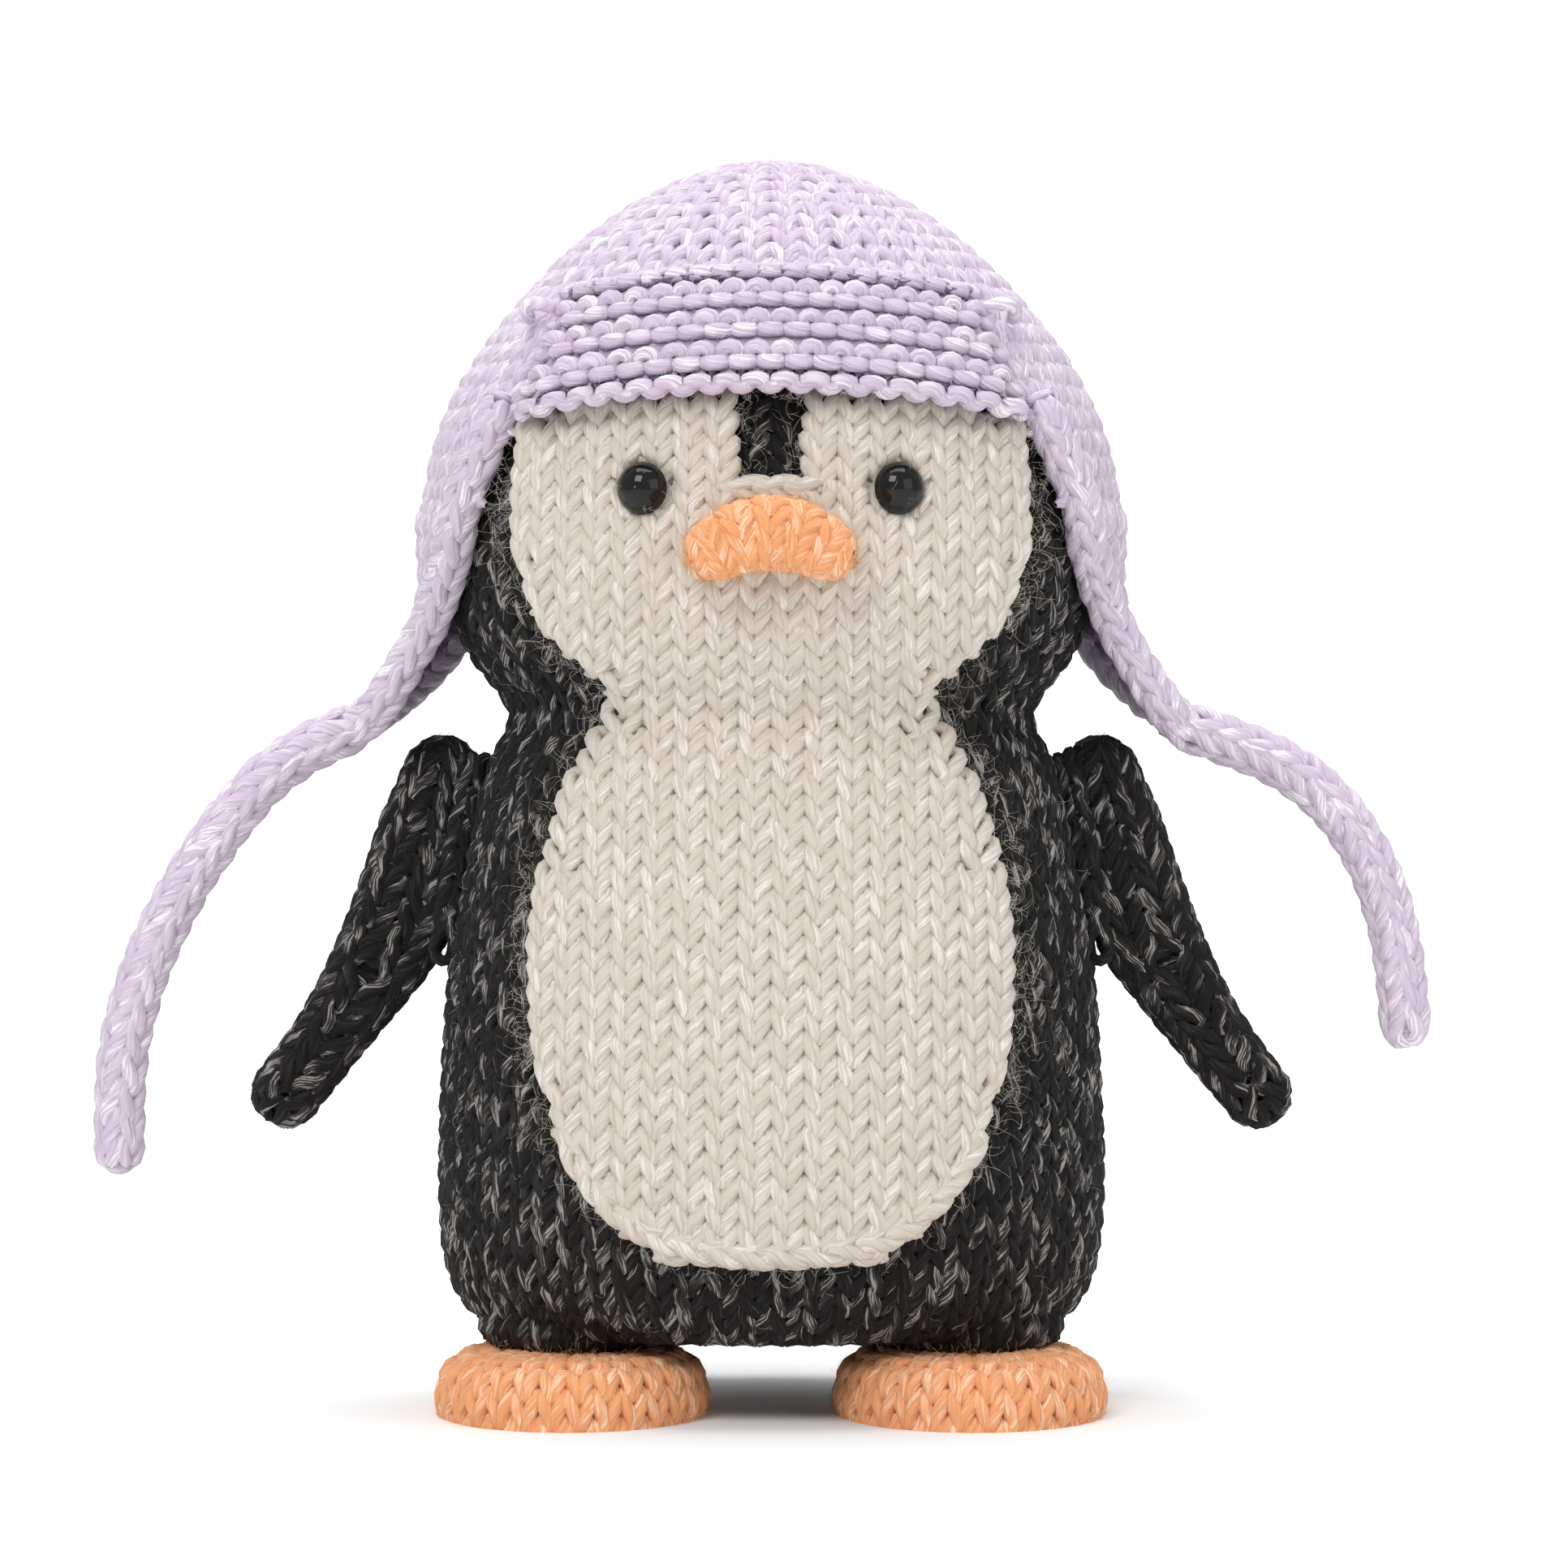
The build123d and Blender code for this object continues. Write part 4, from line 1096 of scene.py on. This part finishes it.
peak_knit = knit("peak_knit", peak_cloth, peak_rows, 1.0 * mm, lilac_wool, 0.55 * mm, lift=-1.25 * mm,
                 purl=True, lean=0.15, rings=18, seed=91)
# Partly painted shade: a sheet behind the purl bumps, read a little short of the yarn's front, so it is
# slightly darkened towards the shade colour
peak_shade_backing = backing("peak_shade_backing", peak_cloth, 1.45 * mm, lilac_wool, turn_of_yarn=0.30)
peak_fuzz = fuzz_on("peak_fuzz", peak_cloth, 1600, 1.6 * mm, 0.018 * mm, lilac_fibre, (92, 93))

# Tacks: one short stitch of the same yarn at each upper corner of the peak
tack_pieces = []
for side_name, side in (("right", -1), ("left", 1)):
    hits = [v.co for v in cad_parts["hat_peak_tacks"].data.vertices if v.co.x * side > 0]
    middle = np.mean(hits, axis=0)
    out = unit(np.array([middle[0], middle[1] - bag_middle, (middle[2] - 107 * mm) * bag_squash]))
    tip = middle + out * 1.9 * mm
    across = unit(np.cross(out, (0, 0, 1)))
    line = np.array([tip + across * s * 2.4 * mm + out * (0.5 - s * s * 1.6) * mm
                     + np.array((0, 0, 0.5 * s)) * mm * side for s in np.linspace(-1, 1, 13)])
    tack_cloth = tube_cloth(line, 0.85 * mm, round_start=True, turns=12)
    tack_pieces.append(backing(f"peak_tack_{side_name}", tack_cloth, 0.0, lilac_wool, cap_start=True,
                               cap_end=True, turn_of_yarn=0.5))
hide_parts("hat_peak_tacks")
for piece in (crown_knit, crown_shade_backing, crown_fuzz, peak_knit, peak_shade_backing, peak_fuzz, *tack_pieces):
    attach(piece, "hat")
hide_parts("hat_crown")
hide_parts("hat_peak")

# ---------------------------------------------------------------- earflaps
# Each flap carries on from the cap's rim, with chained edges. The front one runs from the peak's corner
# down to the tip, where the tie starts.
flap_wale = 3.7 * mm
flap_step = 1.5 * mm
chain_depth = 1.4 * mm
# Across and up, the ends of the crown's open edge between the rim and the peak's corner
rim_end = (35.4, 107.2)
peak_end = (29.8, 119.5)


def felt_from_side(node, side, y, z):
    return felt(node, (side * 0.1, y, z), (-side, 0, 0), 0.1)


for side_name, side in (("right", -1), ("left", 1)):
    node = f"earflap_{side_name}"
    low, high = (Vector(corner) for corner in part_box(node))
    ys = np.arange(low.y - flap_step, high.y + 1.6 * mm, flap_step)
    zs = np.arange(low.z - 1.0 * mm, 110 * mm, flap_step)
    reached = np.zeros((len(zs), len(ys)))
    for r, z in enumerate(zs):
        for c, y in enumerate(ys):
            hit = felt_from_side(node, side, y, z)
            reached[r, c] = 0.0 if hit is None else abs(hit.x)
    # Each row is an arc of the width that its felt points ask for
    depth = np.sqrt(np.clip(1 - ((ys - bag_middle) / (38 * mm)) ** 2, 0, 1))
    widest = np.max(reached / depth, axis=1)
    widest = np.interp(zs, zs[widest > 0], widest[widest > 0])
    points = stacked(side * widest[:, None] * depth, ys[None], zs[:, None])
    flap_cloth = cloth(points, ys, steps_along(points[:, len(ys) // 2]))
    if flap_cloth["normals"][3, 3, 0] * side < 0:
        flap_cloth["normals"] = -flap_cloth["normals"]

    def on_flap(point):
        return felt_from_side(node, side, point.y, min(point.z, 106.3 * mm)) is not None

    flap_rows = []
    for place in np.arange(1.2 * mm, flap_cloth["along"][-1] - 1.0 * mm, hat_row):
        flap_rows += fitted_row(flap_cloth, place, hat_row * row_overlap, flap_wale, on_flap, inset=0.8 * mm)
    flap_knit = knit(f"earflap_knit_{side_name}", flap_cloth, flap_rows, hat_yarn, lilac_wool, 0.6 * mm,
                     rings=14, sides=7, lift=-1.5 * mm, seed=101)
    # Painted shade: a sheet behind the flap's loops, in the shade colour of the gaps between stitches
    flap_shade_backing = trimmed(backing(f"earflap_shade_backing_{side_name}", flap_cloth, 1.5 * mm, lilac_wool),
                          lambda p: on_flap(p) and on_flap(p - Vector((0, 0, 1.6 * mm))))
    # The flap's outline, from the rim down to its tip: its front edge and its rear edge at each height
    front_line, rear_line = [], []
    for z in np.arange(105.8, 81.8, -1.0) * mm:
        filled = [y for y in np.arange(low.y - 1 * mm, high.y + 1 * mm, 0.4 * mm)
                  if felt_from_side(node, side, y, z) is not None]
        if filled:
            front_line.append((filled[0], z))
            rear_line.append((filled[-1], z))
    # The front chain starts at the peak's corner and comes down the crown's edge
    corner_line = []
    for share in np.linspace(1, 0, 14):
        x, z = ((rim + (peak - rim) * share) * mm for rim, peak in zip(rim_end, peak_end))
        hit = felt_from_front("hat_crown", side * (x + 1.0 * mm), z, 0.12)
        if hit is not None:
            corner_line.append(np.array(hit))
    tie_start = np.array((side * 49.0 * mm, bag_middle - 7.0 * mm, 82.3 * mm))
    chains = []
    for label, before, edge_line, after in (("front", corner_line, front_line, [tie_start]),
                                            ("rear", [], rear_line, [])):
        ys_zs = np.array(edge_line)
        places = np.interp(ys_zs[:, 1], points[:, 0, 2], flap_cloth["along"])
        on_edge, _ = on_cloth(flap_cloth, ys_zs[:, 0], places, -chain_depth)
        line = np.array([*before, *on_edge, *after])
        apart = np.linalg.norm(np.diff(line, axis=0), axis=1) > 0.3 * mm
        line = line[np.append(True, apart)]
        at = steps_along(line)
        line = smoothed(read_at(np.arange(0, at[-1], 0.8 * mm), at, line))
        chains.append(chain(f"earflap_{label}_chain_{side_name}", line, 1.35 * mm, 0.95 * mm, lilac_wool,
                            pitch=3.3 * mm, rise=2.9 * mm, first=1.5 * mm, stitches=3, relief=0.25 * mm,
                            round_start=True, round_end=label == "rear", seed=105))
    flap_fuzz = fuzz_on(f"earflap_fuzz_{side_name}", flap_cloth, 900, 1.8 * mm, 0.018 * mm, lilac_fibre,
                        (106, 107), keep=on_flap)
    for piece in (flap_knit, flap_shade_backing, flap_fuzz, *chains):
        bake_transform(piece)
    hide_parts(node)

# ---------------------------------------------------------------- hidden pieces
# Polyester filling in the body, head, feet and beak, washers behind the eyes, the neck's drawn yarn
# and the sewing yarn of the flippers.
filling = speckled("polyester filling", 420, (0.62, 0.62, 0.60), (0.92, 0.92, 0.90), 0.95, detail=8,
                   distortion=1.6, bump_depth=0.001)
washer_plastic = speckled("washer plastic", 1500, (0.66, 0.66, 0.64), (0.80, 0.80, 0.78), 0.5,
                          bump_depth=0.00005)
for material, names in (
        (filling, ("body_stuffing", "head_stuffing", "beak_stuffing", "foot_stuffing_left",
                   "foot_stuffing_right")),
        (black_wool, ("neck_yarn", "flipper_seam_left", "flipper_seam_right")),
        (washer_plastic, ("eye_washer_left", "eye_washer_right"))):
    for name in names:
        finish_node(name, material)

# ---------------------------------------------------------------- floor and light
# A pale studio sweep, and four large soft lamps: a key at the front left, a weaker fill at the front
# right, one overhead and one for the sweep behind.
sweep = [(-1.6, 0.0), (0.9, 0.0), (1.25, 0.06), (1.45, 0.25), (1.5, 0.6), (1.5, 2.2)]
floor_mesh = bpy.data.meshes.new("floor")
floor_mesh.from_pydata([(x, y, z) for y, z in sweep for x in (-2.5, 2.5)], [],
                       [(2 * i, 2 * i + 1, 2 * i + 3, 2 * i + 2) for i in range(len(sweep) - 1)])
floor_mesh.shade_smooth()
floor = bpy.data.objects.new("floor", floor_mesh)
bpy.context.scene.collection.objects.link(floor)
floor.modifiers.new("round", "SUBSURF").levels = 3
paper = bpy.data.materials.new("pale paper")
paper.use_nodes = True
paper_shader = paper.node_tree.nodes["Principled BSDF"]
paper_shader.inputs["Base Color"].default_value = (0.93, 0.93, 0.93, 1)
paper_shader.inputs["Roughness"].default_value = 0.9
floor_mesh.materials.append(paper)
world = bpy.data.worlds.new("studio")
world.use_nodes = True
world.node_tree.nodes["Background"].inputs[0].default_value = (1, 1, 1, 1)
world.node_tree.nodes["Background"].inputs[1].default_value = 0.50
bpy.context.scene.world = world
for name, place, aim, size, power in (
        ("key lamp", (-0.35, -0.7, 0.75), (0, 0, 0.075), 0.45, 4.6),
        ("fill lamp", (0.6, -0.6, 0.35), (0, 0, 0.075), 0.6, 1.4),
        ("top lamp", (0.0, 0.1, 0.8), (0, 0, 0.075), 0.6, 4.2),
        ("backdrop lamp", (0.0, 0.55, 0.9), (0, 1.5, 0.3), 0.9, 14.0)):
    lamp = bpy.data.lights.new(name, "AREA")
    lamp.size = size
    lamp.energy = power
    holder = bpy.data.objects.new(name, lamp)
    holder.location = place
    holder.rotation_euler = (Vector(aim) - Vector(place)).to_track_quat("-Z", "Y").to_euler()
    holder.visible_camera = False
    bpy.context.scene.collection.objects.link(holder)
